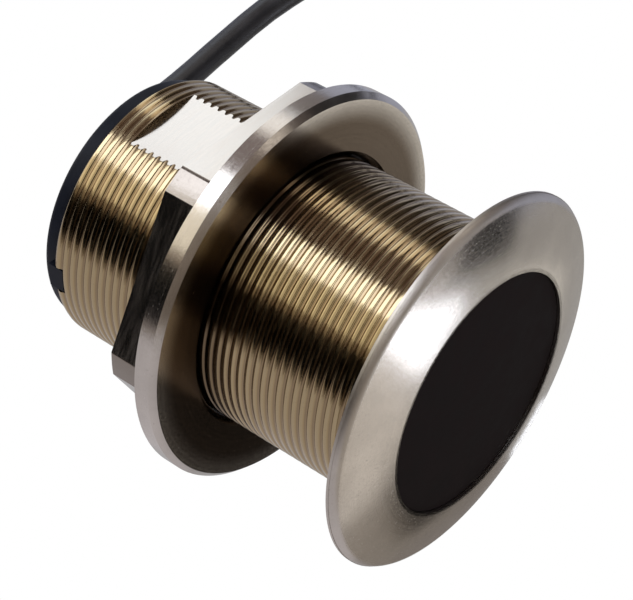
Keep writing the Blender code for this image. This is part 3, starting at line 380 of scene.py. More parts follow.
class Finish:
    """A material whose nodes are added one after another."""

    def __init__(self, name, roughness, metallic=0.0):
        self.material = bpy.data.materials.new(name)
        self.material.use_nodes = True
        self.tree = self.material.node_tree
        self.shader = self.tree.nodes["Principled BSDF"]
        self.shader.inputs["Roughness"].default_value = roughness
        self.shader.inputs["Metallic"].default_value = metallic
        self.place = self.add("ShaderNodeTexCoord").outputs["Object"]

    def add(self, kind, **settings):
        """Add a node with its settings."""
        node = self.tree.nodes.new(kind)
        for name, value in settings.items():
            setattr(node, name, value)
        return node

    def join(self, output, socket):
        """Join an output to a socket."""
        self.tree.links.new(output, socket)

    def maths(self, operation, first, second):
        """Return the result of a sum on two outputs."""
        node = self.add("ShaderNodeMath", operation=operation)
        self.join(first, node.inputs[0])
        self.join(second, node.inputs[1])
        return node.outputs["Value"]

    def set_colour(self, socket, value):
        """Set a colour socket to an output or a colour."""
        if isinstance(value, bpy.types.NodeSocket):
            self.join(value, socket)
        else:
            socket.default_value = (*value, 1.0)

    def stretch(self, scale):
        """Return the place, scaled along each axis."""
        node = self.add("ShaderNodeMapping")
        node.inputs["Scale"].default_value = scale
        self.join(self.place, node.inputs["Vector"])
        return node.outputs["Vector"]

    def noise(self, scale, detail=3.0, vector=None):
        """Return a noise pattern, with its scale in cells a metre."""
        node = self.add("ShaderNodeTexNoise")
        node.inputs["Scale"].default_value = scale
        node.inputs["Detail"].default_value = detail
        node.inputs["Roughness"].default_value = NOISE_ROUGHNESS
        self.join(vector or self.place, node.inputs["Vector"])
        return node.outputs["Fac"]

    def spots(self, scale):
        """Return the distance to scattered points."""
        node = self.add("ShaderNodeTexVoronoi")
        node.inputs["Scale"].default_value = scale
        self.join(self.place, node.inputs["Vector"])
        return node.outputs["Distance"]

    def range(self, value, low, high, to_low=0.0, to_high=1.0):
        """Return a value moved from one range to another."""
        node = self.add("ShaderNodeMapRange", interpolation_type="SMOOTHSTEP")
        for name, number in (("From Min", low), ("From Max", high), ("To Min", to_low), ("To Max", to_high)):
            node.inputs[name].default_value = number
        self.join(value, node.inputs["Value"])
        return node.outputs["Result"]

    def blend(self, share, first, second):
        """Return a colour between two colours."""
        node = self.add("ShaderNodeMix", data_type="RGBA")
        self.join(share, node.inputs["Factor"])
        self.set_colour(node.inputs["A"], first)
        self.set_colour(node.inputs["B"], second)
        return node.outputs["Result"]

    def bump(self, height, distance, strength=1.0):
        """Raise the surface by a height pattern."""
        node = self.add("ShaderNodeBump")
        node.inputs["Distance"].default_value = distance
        node.inputs["Strength"].default_value = strength
        self.join(height, node.inputs["Height"])
        self.join(node.outputs["Normal"], self.shader.inputs["Normal"])

    def colour(self, value):
        """Set the base colour to an output."""
        self.join(value, self.shader.inputs["Base Color"])

    def rough(self, value):
        """Set the roughness to an output."""
        self.join(value, self.shader.inputs["Roughness"])

    def radius(self):
        """Return the distance from the Z axis."""
        flat = self.stretch((1.0, 1.0, 0.0))
        node = self.add("ShaderNodeVectorMath", operation="LENGTH")
        self.join(flat, node.inputs[0])
        return node.outputs["Value"]

    def height(self):
        """Return the height along Z."""
        node = self.add("ShaderNodeSeparateXYZ")
        self.join(self.place, node.inputs["Vector"])
        return node.outputs["Z"]

    def rings(self, scale):
        """Return a pattern of turning marks, which changes with radius and height only."""
        node = self.add("ShaderNodeCombineXYZ")
        self.join(self.radius(), node.inputs["X"])
        self.join(self.height(), node.inputs["Y"])
        return self.noise(scale, detail=2.0, vector=node.outputs["Vector"])

    def lie_round(self):
        """Let the gloss stretch across marks that run round the Z axis."""
        node = self.add("ShaderNodeVectorMath", operation="CROSS_PRODUCT")
        node.inputs[0].default_value = (0.0, 0.0, 1.0)
        self.join(self.place, node.inputs[1])
        self.join(node.outputs["Vector"], self.shader.inputs["Tangent"])


def turned_bronze(name="turned_bronze", painted_shade_reach=0.0, dull_rim=0.0):
    """Satin bronze with turning marks and small specks, with painted shade near the stem or duller at the rim.
    """
    finish = Finish(name, 0.22, 1.0)
    base = colours().turned_bronze
    marks = finish.rings(5200.0)
    grain = finish.noise(2300.0, 3.0)
    shade = finish.range(finish.noise(130.0, 4.0), 0.35, 0.7)
    tone = finish.blend(shade, share_of(base, 0.9), base)
    specks = finish.range(grain, 0.64, 0.74, 0.0, 0.3)
    tone = finish.blend(specks, tone, share_of(base, 0.32))
    # Painted shade: the nut's face is darkened towards the stem
    if painted_shade_reach:
        start = sizes().stem_radius
        unshaded = finish.range(finish.radius(), start + 0.5 * painted_shade_reach, start + painted_shade_reach)
        tone = finish.blend(unshaded, colours().painted_shade, tone)
    finish.colour(tone)
    from_marks = finish.range(marks, 0.3, 0.7, 0.09, 0.15)
    from_grain = finish.range(grain, 0.3, 0.7, 0.06, 0.13)
    rough = finish.maths("ADD", from_marks, from_grain)
    if dull_rim:
        rim = HOUSING_HIGH.x
        duller = finish.range(finish.radius(), rim - sizes().rim_round, rim, 0.0, dull_rim)
        rough = finish.maths("ADD", rough, duller)
    finish.rough(rough)
    finish.shader.inputs["Anisotropic"].default_value = 0.35
    finish.shader.inputs["Anisotropic Rotation"].default_value = 0.25
    finish.lie_round()
    finish.bump(finish.maths("ADD", marks, grain), 0.00002, 0.3)
    return finish.material


def thread_bronze():
    """Golden cut thread: worn crests, darker flanks, stained roots, pits, and painted shade on the stem in
    front of and under the nut.
    """
    finish = Finish("thread_bronze", 0.28, 1.0)
    radius = finish.radius()
    crest = sizes().stem_radius
    root = crest - sizes().thread_depth
    stained = finish.range(radius, root, root + 0.45 * (crest - root))
    tone = finish.blend(stained, colours().root_bronze, colours().thread_bronze)
    worn = finish.range(radius, crest - 0.00012, crest - 0.00002)
    tone = finish.blend(worn, tone, colours().crest_bronze)
    pits = finish.range(finish.noise(3200.0, 2.0), 0.66, 0.74, 0.0, 0.5)
    tone = finish.blend(pits, tone, colours().root_bronze)
    # Painted shade: the thread darkens towards the nut's washer and stays dark under the nut
    height = finish.height()
    before = finish.range(height, NUT_LOW.z - sizes().painted_shade_stem_reach, NUT_LOW.z, 0.0, 0.8)
    behind = finish.range(height, NUT_HIGH.z - sizes().painted_shade_stem_reach, NUT_HIGH.z, 1.0, 0.0)
    tone = finish.blend(finish.maths("MULTIPLY", before, behind), tone, colours().painted_shade)
    finish.colour(tone)
    finish.rough(finish.range(finish.noise(420.0, 4.0), 0.3, 0.7, 0.12, 0.19))
    finish.bump(finish.noise(2600.0, 3.0), 0.00002, 0.2)
    return finish.material


def milled_bronze():
    """Milled wrench flat with faint cutter marks across it."""
    finish = Finish("milled_bronze", 0.27, 1.0)
    marks = finish.noise(1.0, 2.0, vector=finish.stretch((160.0, 160.0, 1500.0)))
    base = colours().turned_bronze
    finish.colour(finish.blend(finish.range(marks, 0.35, 0.65), share_of(base, 0.9), base))
    finish.rough(finish.range(marks, 0.3, 0.7, 0.17, 0.24))
    finish.bump(marks, 0.00001, 0.06)
    return finish.material


def moulded(name, base, roughness, grain, specular=0.5):
    """Moulded plastic, rubber or urethane with a fine grain."""
    finish = Finish(name, roughness)
    cloud = finish.noise(160.0, 4.0)
    finish.colour(finish.blend(finish.range(cloud, 0.3, 0.7), share_of(base, 0.8), share_of(base, 1.2)))
    finish.rough(finish.range(cloud, 0.3, 0.7, roughness - 0.05, roughness + 0.06))
    finish.shader.inputs["Specular IOR Level"].default_value = specular
    finish.bump(finish.noise(grain, 3.0), 0.00003, 0.4)
    return finish.material


def plated_pin():
    """Gold-plated contact."""
    finish = Finish("plated_pin", 0.2, 1.0)
    cloud = finish.noise(900.0)
    finish.colour(finish.blend(finish.range(cloud, 0.3, 0.7), (0.78, 0.55, 0.20), (0.86, 0.64, 0.28)))
    return finish.material


def woven_tie():
    """Hook-and-loop band with a fine fuzzy weave."""
    finish = Finish("woven_tie", 0.9)
    weave = finish.spots(1500.0)
    shade = finish.range(weave, 0.1, 0.6)
    finish.colour(finish.blend(shade, (0.014, 0.014, 0.016), (0.045, 0.045, 0.05)))
    finish.shader.inputs["Sheen Weight"].default_value = 0.25
    finish.bump(weave, 0.0002, 0.7)
    return finish.material


def grained(name, dark, light, scale, roughness, metallic=0.0):
    """Plain inner material with two tones and a grain."""
    finish = Finish(name, roughness, metallic)
    grain = finish.noise(scale, 4.0)
    finish.colour(finish.blend(finish.range(grain, 0.35, 0.65), dark, light))
    finish.bump(grain, 0.00004, 0.4)
    return finish.material


def wound_copper():
    """Enamelled wire, wound in close turns."""
    finish = Finish("wound_copper", 0.3, 1.0)
    turns = finish.add("ShaderNodeTexWave", wave_type="BANDS", bands_direction="Z")
    turns.inputs["Scale"].default_value = 1200.0
    finish.join(finish.place, turns.inputs["Vector"])
    finish.colour(finish.blend(turns.outputs["Fac"], (0.30, 0.09, 0.035), (0.72, 0.30, 0.13)))
    finish.bump(turns.outputs["Fac"], 0.0001, 0.6)
    return finish.material


def laminate():
    """Green circuit board with faint copper tracks under its mask."""
    finish = Finish("laminate", 0.35)
    tracks = finish.add("ShaderNodeTexBrick")
    tracks.inputs["Scale"].default_value = 260.0
    tracks.inputs["Mortar Size"].default_value = 0.03
    finish.join(finish.place, tracks.inputs["Vector"])
    finish.colour(finish.blend(tracks.outputs["Fac"], (0.008, 0.09, 0.035), (0.03, 0.19, 0.08)))
    finish.bump(tracks.outputs["Fac"], 0.00005, 0.5)
    return finish.material


# Bronze pieces

def thread_shape(low, high):
    """Return a closed threaded rod between two heights, made by a rising spin of one pitch."""
    s = sizes()
    root = s.stem_radius - s.thread_depth
    flank = (s.thread_pitch - s.thread_crest - s.thread_root) / 2.0
    crest_end = s.thread_root + flank + s.thread_crest
    shares = [step / FLANK_STEPS for step in range(FLANK_STEPS + 1)]
    outline = [(root, 0.0)]
    outline += [(root + s.thread_depth * ease(share), s.thread_root + flank * share) for share in shares]
    outline += [(root + s.thread_depth * (1.0 - ease(share)), crest_end + flank * share) for share in shares]
    shape = bmesh.new()
    base = low - s.thread_pitch
    verts, edges = chain(shape, [(radius, 0.0, base + height) for radius, height in outline])
    rise = (0.0, 0.0, s.thread_pitch / THREAD_STEPS)
    spin_round(shape, verts + edges, math.tau, THREAD_STEPS, dvec=rise)
    first_turn = shape.verts[:] + shape.edges[:] + shape.faces[:]
    for turn in range(1, math.ceil((high - low) / s.thread_pitch) + 2):
        copied = bmesh.ops.duplicate(shape, geom=first_turn)["geom"]
        move_new(shape, copied, (0.0, 0.0, turn * s.thread_pitch))
    bmesh.ops.remove_doubles(shape, verts=shape.verts, dist=TURN_MERGE)
    for height, outwards in ((low, -1.0), (high, 1.0)):
        bmesh.ops.bisect_plane(
            shape,
            geom=shape.verts[:] + shape.edges[:] + shape.faces[:],
            dist=CUT_MERGE,
            plane_co=(0.0, 0.0, height),
            plane_no=(0.0, 0.0, outwards),
            clear_outer=True,
        )
        rim = [edge for edge in shape.edges if edge.is_boundary and abs(edge.verts[0].co.z - height) < MERGE]
        bmesh.ops.contextual_create(shape, geom=rim)
    bmesh.ops.recalc_face_normals(shape, faces=shape.faces)
    return shape


def housing_shape():
    """Return the flange, solid inside its rim, with its bevel rounded over into the rim."""
    s = sizes()
    rim = HOUSING_HIGH.x
    slope = math.atan2(s.rim_start, rim - s.lip_radius)
    rise = (rim - s.rim_round - s.lip_radius) * math.sin(slope)
    centre = (rim - s.rim_round, (s.rim_round + rise) / math.cos(slope))
    edge = s.rim_edge
    outline = [(0.0, 0.0), (s.lip_radius, 0.0)]
    outline += arc(centre, s.rim_round, math.degrees(slope) - 90.0, 0.0, 10)
    outline += arc((rim - edge, HULL_SEAT - edge), edge, 0.0, 90.0, 4)
    outline.append((0.0, HULL_SEAT))
    return turned(outline, ROUND_STEPS)


def bore_shape(top):
    """Return what is cut from the housing for the window's seat and the bore."""
    s = sizes()
    outline = [(0.0, -s.recess_depth), (s.recess_radius, -s.recess_depth), (s.recess_radius, s.recess_depth)]
    outline += [(s.bore_radius, s.recess_depth), (s.bore_radius, top + GAP), (0.0, top + GAP)]
    return turned(outline, ROUND_STEPS)


def rear_chamfer_shape(top):
    """Return what is cut from the stem's rear edge."""
    s = sizes()
    reach = s.stem_radius + 2.0 * s.thread_depth
    outline = [(s.stem_radius - s.stem_chamfer, top + GAP / 2.0), (reach, top - s.stem_chamfer - GAP)]
    outline.append((reach, top + GAP / 2.0))
    return turned(outline, ROUND_STEPS)


class TRANSDUCER_OT_housing(bpy.types.Operator):
    """Bronze housing: bevelled flange, threaded stem, wrench flats and key notch"""

    bl_idname = "transducer.housing"
    bl_label = "Housing"

    def execute(self, context):
        s = sizes()
        angles = context.scene.transducer_angles
        top = HOUSING_HIGH.z
        housing = add_piece("housing_dressed", thread_shape(HULL_SEAT - GAP, top))
        boolean(housing, housing_shape(), "UNION")
        boolean(housing, bore_shape(top))
        boolean(housing, rear_chamfer_shape(top))
        for turn in (0.0, math.pi):
            low = (s.flat_distance, -s.stem_radius, s.flat_start)
            high = (2.0 * s.stem_radius, s.stem_radius, s.flat_end)
            boolean(housing, block(low, high, angles.wrench_flat + turn))
        low = (s.bore_radius - GAP, -s.notch_width / 2.0, top - s.notch_depth)
        high = (s.stem_radius + GAP, s.notch_width / 2.0, top + GAP)
        boolean(housing, block(low, high, angles.key))
        finish_cut(housing, BRONZE_SHARP, turned_bronze(dull_rim=0.25), thread_bronze(), milled_bronze())
        self.choose_finishes(housing, angles.wrench_flat, top)
        sharpen_borders(housing)
        dress(housing, "root", "bronze", "housing")
        return {"FINISHED"}

    def choose_finishes(self, housing, flat_angle, top):
        """Give the stem its thread's finish and the wrench flats theirs, but not the stem's rear face."""
        reach = sizes().stem_radius + GAP
        flat_way = Vector((math.cos(flat_angle), math.sin(flat_angle), 0.0))
        for face in housing.data.polygons:
            on_stem = face.center.z > HULL_SEAT + GAP / 2.0 and face.center.xy.length < reach
            if not on_stem or (face.normal.z > 0.999 and face.center.z > top - GAP):
                continue
            on_flat = abs(face.normal.dot(flat_way)) > 0.9999
            face.material_index = 2 if on_flat else 1


class TRANSDUCER_OT_hull_nut(bpy.types.Operator):
    """Bronze hull nut: round washer flange and hexagon with turned corners"""

    bl_idname = "transducer.hull_nut"
    bl_label = "Hull nut"

    def execute(self, context):
        s = sizes()
        washer_back = NUT_LOW.z + s.washer_thickness
        washer = s.washer_radius
        outline = [(0.0, NUT_LOW.z), (washer - s.washer_chamfer, NUT_LOW.z)]
        outline += [(washer, NUT_LOW.z + s.washer_chamfer), (washer, washer_back), (0.0, washer_back)]
        nut = add_piece("hull_nut_dressed", turned(outline, ROUND_STEPS))
        boolean(nut, self.hexagon(context.scene.transducer_angles.hexagon), "UNION")
        boolean(nut, self.drill())
        # The nut's face gets painted shade near the stem
        finish_cut(nut, BRONZE_SHARP, turned_bronze("nut_bronze_painted_shade", s.painted_shade_reach), milled_bronze())
        for face in nut.data.polygons:
            from_axis = abs(face.center.x * face.normal.x + face.center.y * face.normal.y)
            if abs(face.normal.z) < 0.01 and abs(from_axis - s.across_flats / 2.0) < GAP:
                face.material_index = 1
        bevel = nut.modifiers.new("Edges", "BEVEL")
        bevel.width = s.nut_bevel
        bevel.segments = 2
        bevel.limit_method = "ANGLE"
        bevel.angle_limit = math.radians(40.0)
        nut.modifiers.new("Even faces", "WEIGHTED_NORMAL").weight = 100
        dress(nut, "nut", "bronze", "hull_nut")
        return {"FINISHED"}

    def hexagon(self, angle):
        """Return the hexagon, with its corners turned round."""
        s = sizes()
        corners = [(0.0, NUT_LOW.z + GAP), (s.corner_radius, NUT_LOW.z + GAP)]
        corners += [(s.corner_radius, NUT_HIGH.z), (0.0, NUT_HIGH.z)]
        piece = add_piece("hexagon", turned(corners, ROUND_STEPS))
        prism = bmesh.new()
        place = Matrix.Translation((0.0, 0.0, NUT_LOW.z)) @ Matrix.Rotation(angle, 4, "Z")
        radius = s.across_flats / 2.0 / math.cos(math.radians(30.0))
        bmesh.ops.create_circle(prism, cap_ends=True, segments=6, radius=radius, matrix=place)
        grown = bmesh.ops.extrude_face_region(prism, geom=prism.faces[:])["geom"]
        move_new(prism, grown, (0.0, 0.0, 2.0 * (NUT_HIGH.z - NUT_LOW.z)))
        bmesh.ops.recalc_face_normals(prism, faces=prism.faces)
        boolean(piece, prism, "INTERSECT")
        shape = bmesh.new()
        shape.from_mesh(piece.data)
        bpy.data.objects.remove(piece)
        return shape

    def drill(self):
        """Return what is cut from the nut for its bore, which is chamfered at both ends."""
        s = sizes()
        bore = s.stem_radius + GAP
        past = s.nut_bore_chamfer
        wide = bore + 2.0 * past
        outline = [(0.0, NUT_LOW.z - past), (wide, NUT_LOW.z - past), (bore, NUT_LOW.z + past)]
        outline += [(bore, NUT_HIGH.z - past), (wide, NUT_HIGH.z + past), (0.0, NUT_HIGH.z + past)]
        return turned(outline, ROUND_STEPS)


class TRANSDUCER_OT_window(bpy.types.Operator):
    """Black urethane face in the flange"""

    bl_idname = "transducer.window"
    bl_label = "Acoustic window"

    def execute(self, context):
        s = sizes()
        edge = s.window_edge
        face = WINDOW_LOW.z
        radius = s.recess_radius - s.window_gap
        outline = [(0.0, face), (radius - edge, face)]
        outline += arc((radius - edge, face + edge), edge, -90.0, 0.0, 4)
        outline += [(radius, s.recess_depth - GAP), (s.bore_radius - GAP, s.recess_depth - GAP)]
        outline += [(s.bore_radius - GAP, WINDOW_HIGH.z), (0.0, WINDOW_HIGH.z)]
        material = moulded("urethane", colours().urethane, 0.65, 900.0, 0.05)
        window = add_piece("window_dressed", turned(outline, ROUND_STEPS), material)
        dress(window, "root", "urethane", "acoustic_window")
        return {"FINISHED"}


class TRANSDUCER_OT_rear_cap(bpy.types.Operator):
    """Black rear cap with its key, and the strain relief through it"""

    bl_idname = "transducer.rear_cap"
    bl_label = "Rear cap and strain relief"

    def execute(self, context):
        s = sizes()
        hole = s.relief_radius + GAP
        seat = HOUSING_HIGH.z + GAP
        radius = CAP_HIGH.x
        edge = s.cap_edge
        outline = [(hole, CAP_LOW.z), (s.bore_radius - GAP, CAP_LOW.z), (s.bore_radius - GAP, seat)]
        outline.append((radius, seat))
        outline += arc((radius - edge, CAP_HIGH.z - edge), edge, 0.0, 90.0, 6)
        outline.append((hole, CAP_HIGH.z))
        cap = add_piece("rear_cap_dressed", turned(outline, ROUND_STEPS))
        low = (s.bore_radius - 2.0 * GAP, -s.notch_width / 2.0 + GAP, HOUSING_HIGH.z - s.notch_depth + GAP)
        high = (s.stem_radius - GAP, s.notch_width / 2.0 - GAP, seat + 3.0 * GAP)
        boolean(cap, block(low, high, context.scene.transducer_angles.key), "UNION")
        finish_cut(cap, SHARP, moulded("cap_plastic", colours().cap, 0.42, 1400.0, 0.1))
        dress(cap, "root", "cap_plastic", "rear_cap")
        return {"FINISHED"}


# Cable

RISE_ROUTE = [
    Vector((0.0, 0.0, 0.0014)),
    Vector((0.0011, 0.0010, 0.0081)),
    Vector((0.0042, 0.0037, 0.0136)),
    Vector((0.0080, 0.0072, 0.0164)),
    Vector((0.0116, 0.0104, 0.0171)),
    Vector((0.0246, 0.0193, 0.0171)),
    Vector((0.0335, 0.0246, 0.0171)),
    Vector((0.0480, 0.0315, 0.0152)),
]
FALL_ROUTE = [
    Vector((0.0640, 0.0378, 0.0868)),
    Vector((0.0790, 0.0435, 0.0715)),
    Vector((0.0900, 0.0475, 0.0510)),
    Vector((0.0975, 0.0500, 0.0290)),
    Vector((0.1055, 0.0518, 0.0120)),
    Vector((0.1165, 0.0528, 0.0040)),
    Vector((0.1280, 0.0530, 0.0029)),
]
ENTRY_ANGLE = math.radians(90.0)
SHORT_OF_LAST_TURN = 0.75
SHIFT_SHARE = 0.14
POINTS_PER_TURN = 30
TAIL_STEPS = 6
BOOT_BORE_DEPTH = 0.008
RELIEF_STEP = 0.0005
RELIEF_GROOVE = 0.0004
RELIEF_LIP_WALL = 0.0011
RELIEF_LIP_HEIGHT = 0.0008
RELIEF_LIP_GAP = 0.0001


def free_route():
    """Return the cable's points from inside the cap to the coil."""
    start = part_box("board_lead")[1].z + 2.0 * GAP
    straight = [Vector((0.0, 0.0, start)), Vector((0.0, 0.0, CAP_LOW.z))]
    rise = [Vector((0.0, 0.0, CAP_HIGH.z)) + point for point in RISE_ROUTE]
    return smooth_route(straight + rise + FALL_ROUTE, cable_sizes().diameter)


def coil_slot(turn):
    """Return the radius and height of one turn: rows from the bottom, to and fro."""
    c = cable_sizes()
    row, column = divmod(turn, c.columns)
    if row % 2 == 0:
        column = c.columns - 1 - column
    radius = c.coil_radius + (column - (c.columns - 1) / 2.0) * c.coil_pitch
    return radius, COIL_LOW.z + (row + 0.5) * c.coil_pitch


def coil_route():
    """Return the coil's points. Each turn keeps its place and shifts to the next one near its end."""
    c = cable_sizes()
    centre = (COIL_LOW + COIL_HIGH) / 2.0
    count = c.columns * c.rows
    turn_share = 1.0 - SHORT_OF_LAST_TURN / count
    points = []
    for tick in range(int(POINTS_PER_TURN * count * turn_share) + 1):
        turned_by = tick / POINTS_PER_TURN
        turn = min(int(turned_by / turn_share), count - 1)
        done = turned_by / turn_share - turn
        radius, height = coil_slot(turn)
        next_radius, next_height = radius, COIL_HIGH.z + GAP + c.diameter / 2.0
        if turn < count - 1:
            next_radius, next_height = coil_slot(turn + 1)
        shift = ease(max(0.0, (done - 1.0) / SHIFT_SHARE + 1.0))
        if turn == 0:
            entry = ease(max(0.0, 1.0 - done / SHIFT_SHARE))
            radius += (FALL_ROUTE[-1].y - radius) * entry
            height += (FALL_ROUTE[-1].z - height) * entry
        radius += (next_radius - radius) * shift
        height += (next_height - height) * shift
        angle = ENTRY_ANGLE - math.tau * turned_by
        points.append(Vector((centre.x + radius * math.cos(angle), radius * math.sin(angle), height)))
    return points


def tail_route():
    """Return the points of the cable's end: a quarter turn on the coil, up into the boot."""
    c = cable_sizes()
    low = COIL_HIGH.z + GAP + c.diameter / 2.0
    top = (BOOT_LOW.z + BOOT_HIGH.z) / 2.0
    centre = (COIL_LOW + COIL_HIGH) / 2.0
    reach = coil_slot(c.columns * c.rows - 1)[0]
    knots = [Vector((centre.x + reach, 0.0, low))]
    for index in range(1, TAIL_STEPS + 1):
        share = index / TAIL_STEPS
        turn = math.radians(-90.0 * share)
        height = low + (top - low) * ease(share)
        x = centre.x + reach - c.tail_turn + c.tail_turn * math.cos(turn)
        knots.append(Vector((x, c.tail_turn * math.sin(turn), height)))
    knots.append(Vector((BOOT_HIGH.x - BOOT_BORE_DEPTH + GAP, -c.tail_turn, top)))
    return smooth_route(knots, c.diameter)


class TRANSDUCER_OT_cable(bpy.types.Operator):
    """Cable from the cap to the coil, its turns and the end that goes into the plug"""

    bl_idname = "transducer.cable"
    bl_label = "Cable"

    def execute(self, context):
        c = cable_sizes()
        free = free_route()
        points = free[:-1] + coil_route() + tail_route()[1:]
        jacket = moulded("cable_jacket", colours().jacket, 0.38, 700.0)
        cable = add_cord("cable_dressed", points, c.diameter / 2.0, jacket)
        dress(cable, "root", "jacket", "cable", "cable_coil", "cable_tail")
        self.strain_relief([point for point in free if CAP_HIGH.z < point.z])
        return {"FINISHED"}

    def strain_relief(self, rise):
        """Tapered and grooved strain relief along the cable's bend, with a lip on the cap."""
        s = sizes()
        bend = []
        travelled = 0.0
        for start, end in zip(rise, rise[1:]):
            if travelled < s.relief_length:
                bend.append(start)
            travelled += (end - start).length
        foot = Vector((0.0, 0.0, CAP_HIGH.z + GAP))
        lip = s.relief_radius + RELIEF_LIP_WALL
        points = [Vector((0.0, 0.0, CAP_LOW.z)), foot, foot, foot + Vector((0.0, 0.0, RELIEF_LIP_HEIGHT))]
        radii = [s.relief_radius, s.relief_radius, lip, lip]
        fine = smooth_route(bend, RELIEF_STEP)
        for index, point in enumerate(fine):
            share = index / (len(fine) - 1)
            if point.z < foot.z + RELIEF_LIP_HEIGHT + RELIEF_LIP_GAP:
                continue
            groove = RELIEF_GROOVE if index % 5 in (3, 4) and share < 0.9 else 0.0
            points.append(point)
            radii.append(s.relief_radius + (s.relief_tip_radius - s.relief_radius) * share - groove)
        swell = [radius / s.relief_radius for radius in radii]
        rubber = moulded("relief_rubber", colours().jacket, 0.55, 900.0)
        relief = add_cord("strain_relief_dressed", points, s.relief_radius, rubber, swell)
        dress(relief, "root", "rubber", "strain_relief")


def declare_cable():
    names = ["strain_relief_dressed", "cable_tie_a_dressed", "cable_tie_b_dressed"]
    names += ["plug_boot_dressed", "plug_body_dressed", "plug_collar_dressed"]
    names += ["plug_insert_dressed", "plug_seal_dressed", "plug_pins_dressed"]


TIE_ANGLES = {"cable_tie_a": 45.0, "cable_tie_b": 180.0}
TIE_WIDTH = 0.008
TIE_THICKNESS = 0.0012
TIE_CORNER = 0.002
TIE_INNER_GAP = 0.00075
TIE_OUTER_GAP = 0.0015
TIE_STEPS = 4


class TRANSDUCER_OT_ties(bpy.types.Operator):
    """Two hook-and-loop ties round the coil"""

    bl_idname = "transducer.ties"
    bl_label = "Cable ties"

    def execute(self, context):
        material = woven_tie()
        for name, angle in TIE_ANGLES.items():
            tie = add_piece(name + "_dressed", self.band(math.radians(angle)), material, TIE_SHARP)
            dress(tie, "root", "tie", name)
        return {"FINISHED"}

    def band(self, angle):
        """Return a flat band with round corners round the coil's section."""
        c = cable_sizes()
        half_section = c.columns * c.coil_pitch / 2.0
        inner = c.coil_radius - half_section - TIE_INNER_GAP
        low = (inner - TIE_THICKNESS + TIE_CORNER, TIE_CORNER)
        outer = c.coil_radius + half_section + TIE_OUTER_GAP
        top = COIL_HIGH.z + TIE_OUTER_GAP
        high = (outer - TIE_CORNER, top - TIE_CORNER)
        corners = ((high, 0.0), ((low[0], high[1]), 90.0), (low, 180.0), ((high[0], low[1]), 270.0))
        shape = bmesh.new()
        outline = []
        for middle, first in corners:
            outline += arc(middle, TIE_CORNER, first, first + 90.0, 6)
        verts, edges = chain(shape, [(radius, -TIE_WIDTH / 2.0, height) for radius, height in outline])
        edges.append(shape.edges.new((verts[-1], verts[0])))
        for _ in range(TIE_STEPS):
            grown = bmesh.ops.extrude_edge_only(shape, edges=edges)["geom"]
            edges = [item for item in grown if isinstance(item, bmesh.types.BMEdge)]
            move_new(shape, grown, (0.0, TIE_WIDTH / TIE_STEPS, 0.0))
        centre = (COIL_LOW + COIL_HIGH) / 2.0
        place = Matrix.Translation((centre.x, centre.y, 0.0)) @ Matrix.Rotation(angle, 4, "Z")
        bmesh.ops.recalc_face_normals(shape, faces=shape.faces)
        middle = Vector(((inner + outer) / 2.0, 0.0, top / 2.0))
        face = shape.faces[:][0]
        if face.normal.dot(face.calc_center_median() - middle) > 0.0:
            bmesh.ops.reverse_faces(shape, faces=shape.faces)
        bmesh.ops.solidify(shape, geom=shape.faces, thickness=-TIE_THICKNESS)
        bmesh.ops.recalc_face_normals(shape, faces=shape.faces)
        bmesh.ops.transform(shape, matrix=place, verts=shape.verts)
        return shape


# Plug. Profiles are pairs of depth below the outside and distance along the axis
BOOT_TIP_RADIUS = 0.0038
BOOT_TIP_EDGE = 0.0003
BOOT_BORE_RADIUS = 0.0029
BOOT_SLEEVE_LENGTH = 0.008
BOOT_SLEEVE_PROFILE = ((0.0004, 0.0), (0.0, 0.0006))
RIB_COUNT = 6
RIB_START = 0.0018
RIB_RISE = ((0.0008, 0.0), (0.0001, 0.0006), (0.0, 0.0010))
RIB_FALL = ((0.0, -0.0012), (0.0008, -0.0007))
GRIP_LENGTH = 0.020
GRIP_EDGE = 0.0012
GRIP_WAIST = ((0.0, 0.004), (0.0006, 0.005), (0.0006, 0.0150), (0.0, 0.0160))
GRIP_SHOULDER = ((0.0, -0.0003), (0.0003, 0.0))
BARREL_RADIUS = 0.0076
BARREL_CAVITY_RADIUS = 0.0061
BARREL_CAVITY_DEPTH = 0.013
BARREL_EDGE = 0.0004
RETAINER_RADIUS = 0.0087
RETAINER_START = 0.0031
RETAINER_END = 0.0051
SEAL_RADIUS = 0.0006
COLLAR_STEPS = 96
COLLAR_WALL = 0.0011
COLLAR_REAR_WALL = 0.0025
COLLAR_HOLE_RADIUS = 0.0079
COLLAR_REAR = ((0.0008, 0.0), (0.0001, 0.0007), (0.0, 0.0012))
COLLAR_FRONT_GROOVE = ((0.0, -0.0035), (0.0005, -0.0030), (0.0005, -0.0022), (0.0, -0.0018))
COLLAR_FRONT = ((0.0, -0.0006), (0.0004, 0.0))
COLLAR_RIBS_START = 0.0011
COLLAR_RIBS_END = 0.0034
COLLAR_GROOVE = 0.0005
COLLAR_EDGE = 0.0002
COLLAR_THREAD_PITCH = 0.0010
COLLAR_THREAD = ((0.0, 0.0), (0.00035, -0.00035), (0.00035, -0.0005), (0.0, -0.00085))
COLLAR_THREAD_START = 0.0006
COLLAR_THREAD_MARGIN = 0.0045
COLLAR_SKIN = 0.00005
INSERT_EDGE = 0.0003
PIN_STEPS = 16
PIN_RADIUS = 0.00055
PIN_ROOT = 0.002
PIN_REACH = 0.0055
PIN_SHOULDER = 0.0048
PIN_TIP = 0.0049
PIN_CIRCLE_RADIUS = 0.0038
PINS_IN_CIRCLE = 6


def along(profile, radius, distance):
    """Return a profile's outline points from an outside radius and a distance along the axis."""
    return [(radius - depth, distance + step) for depth, step in profile]


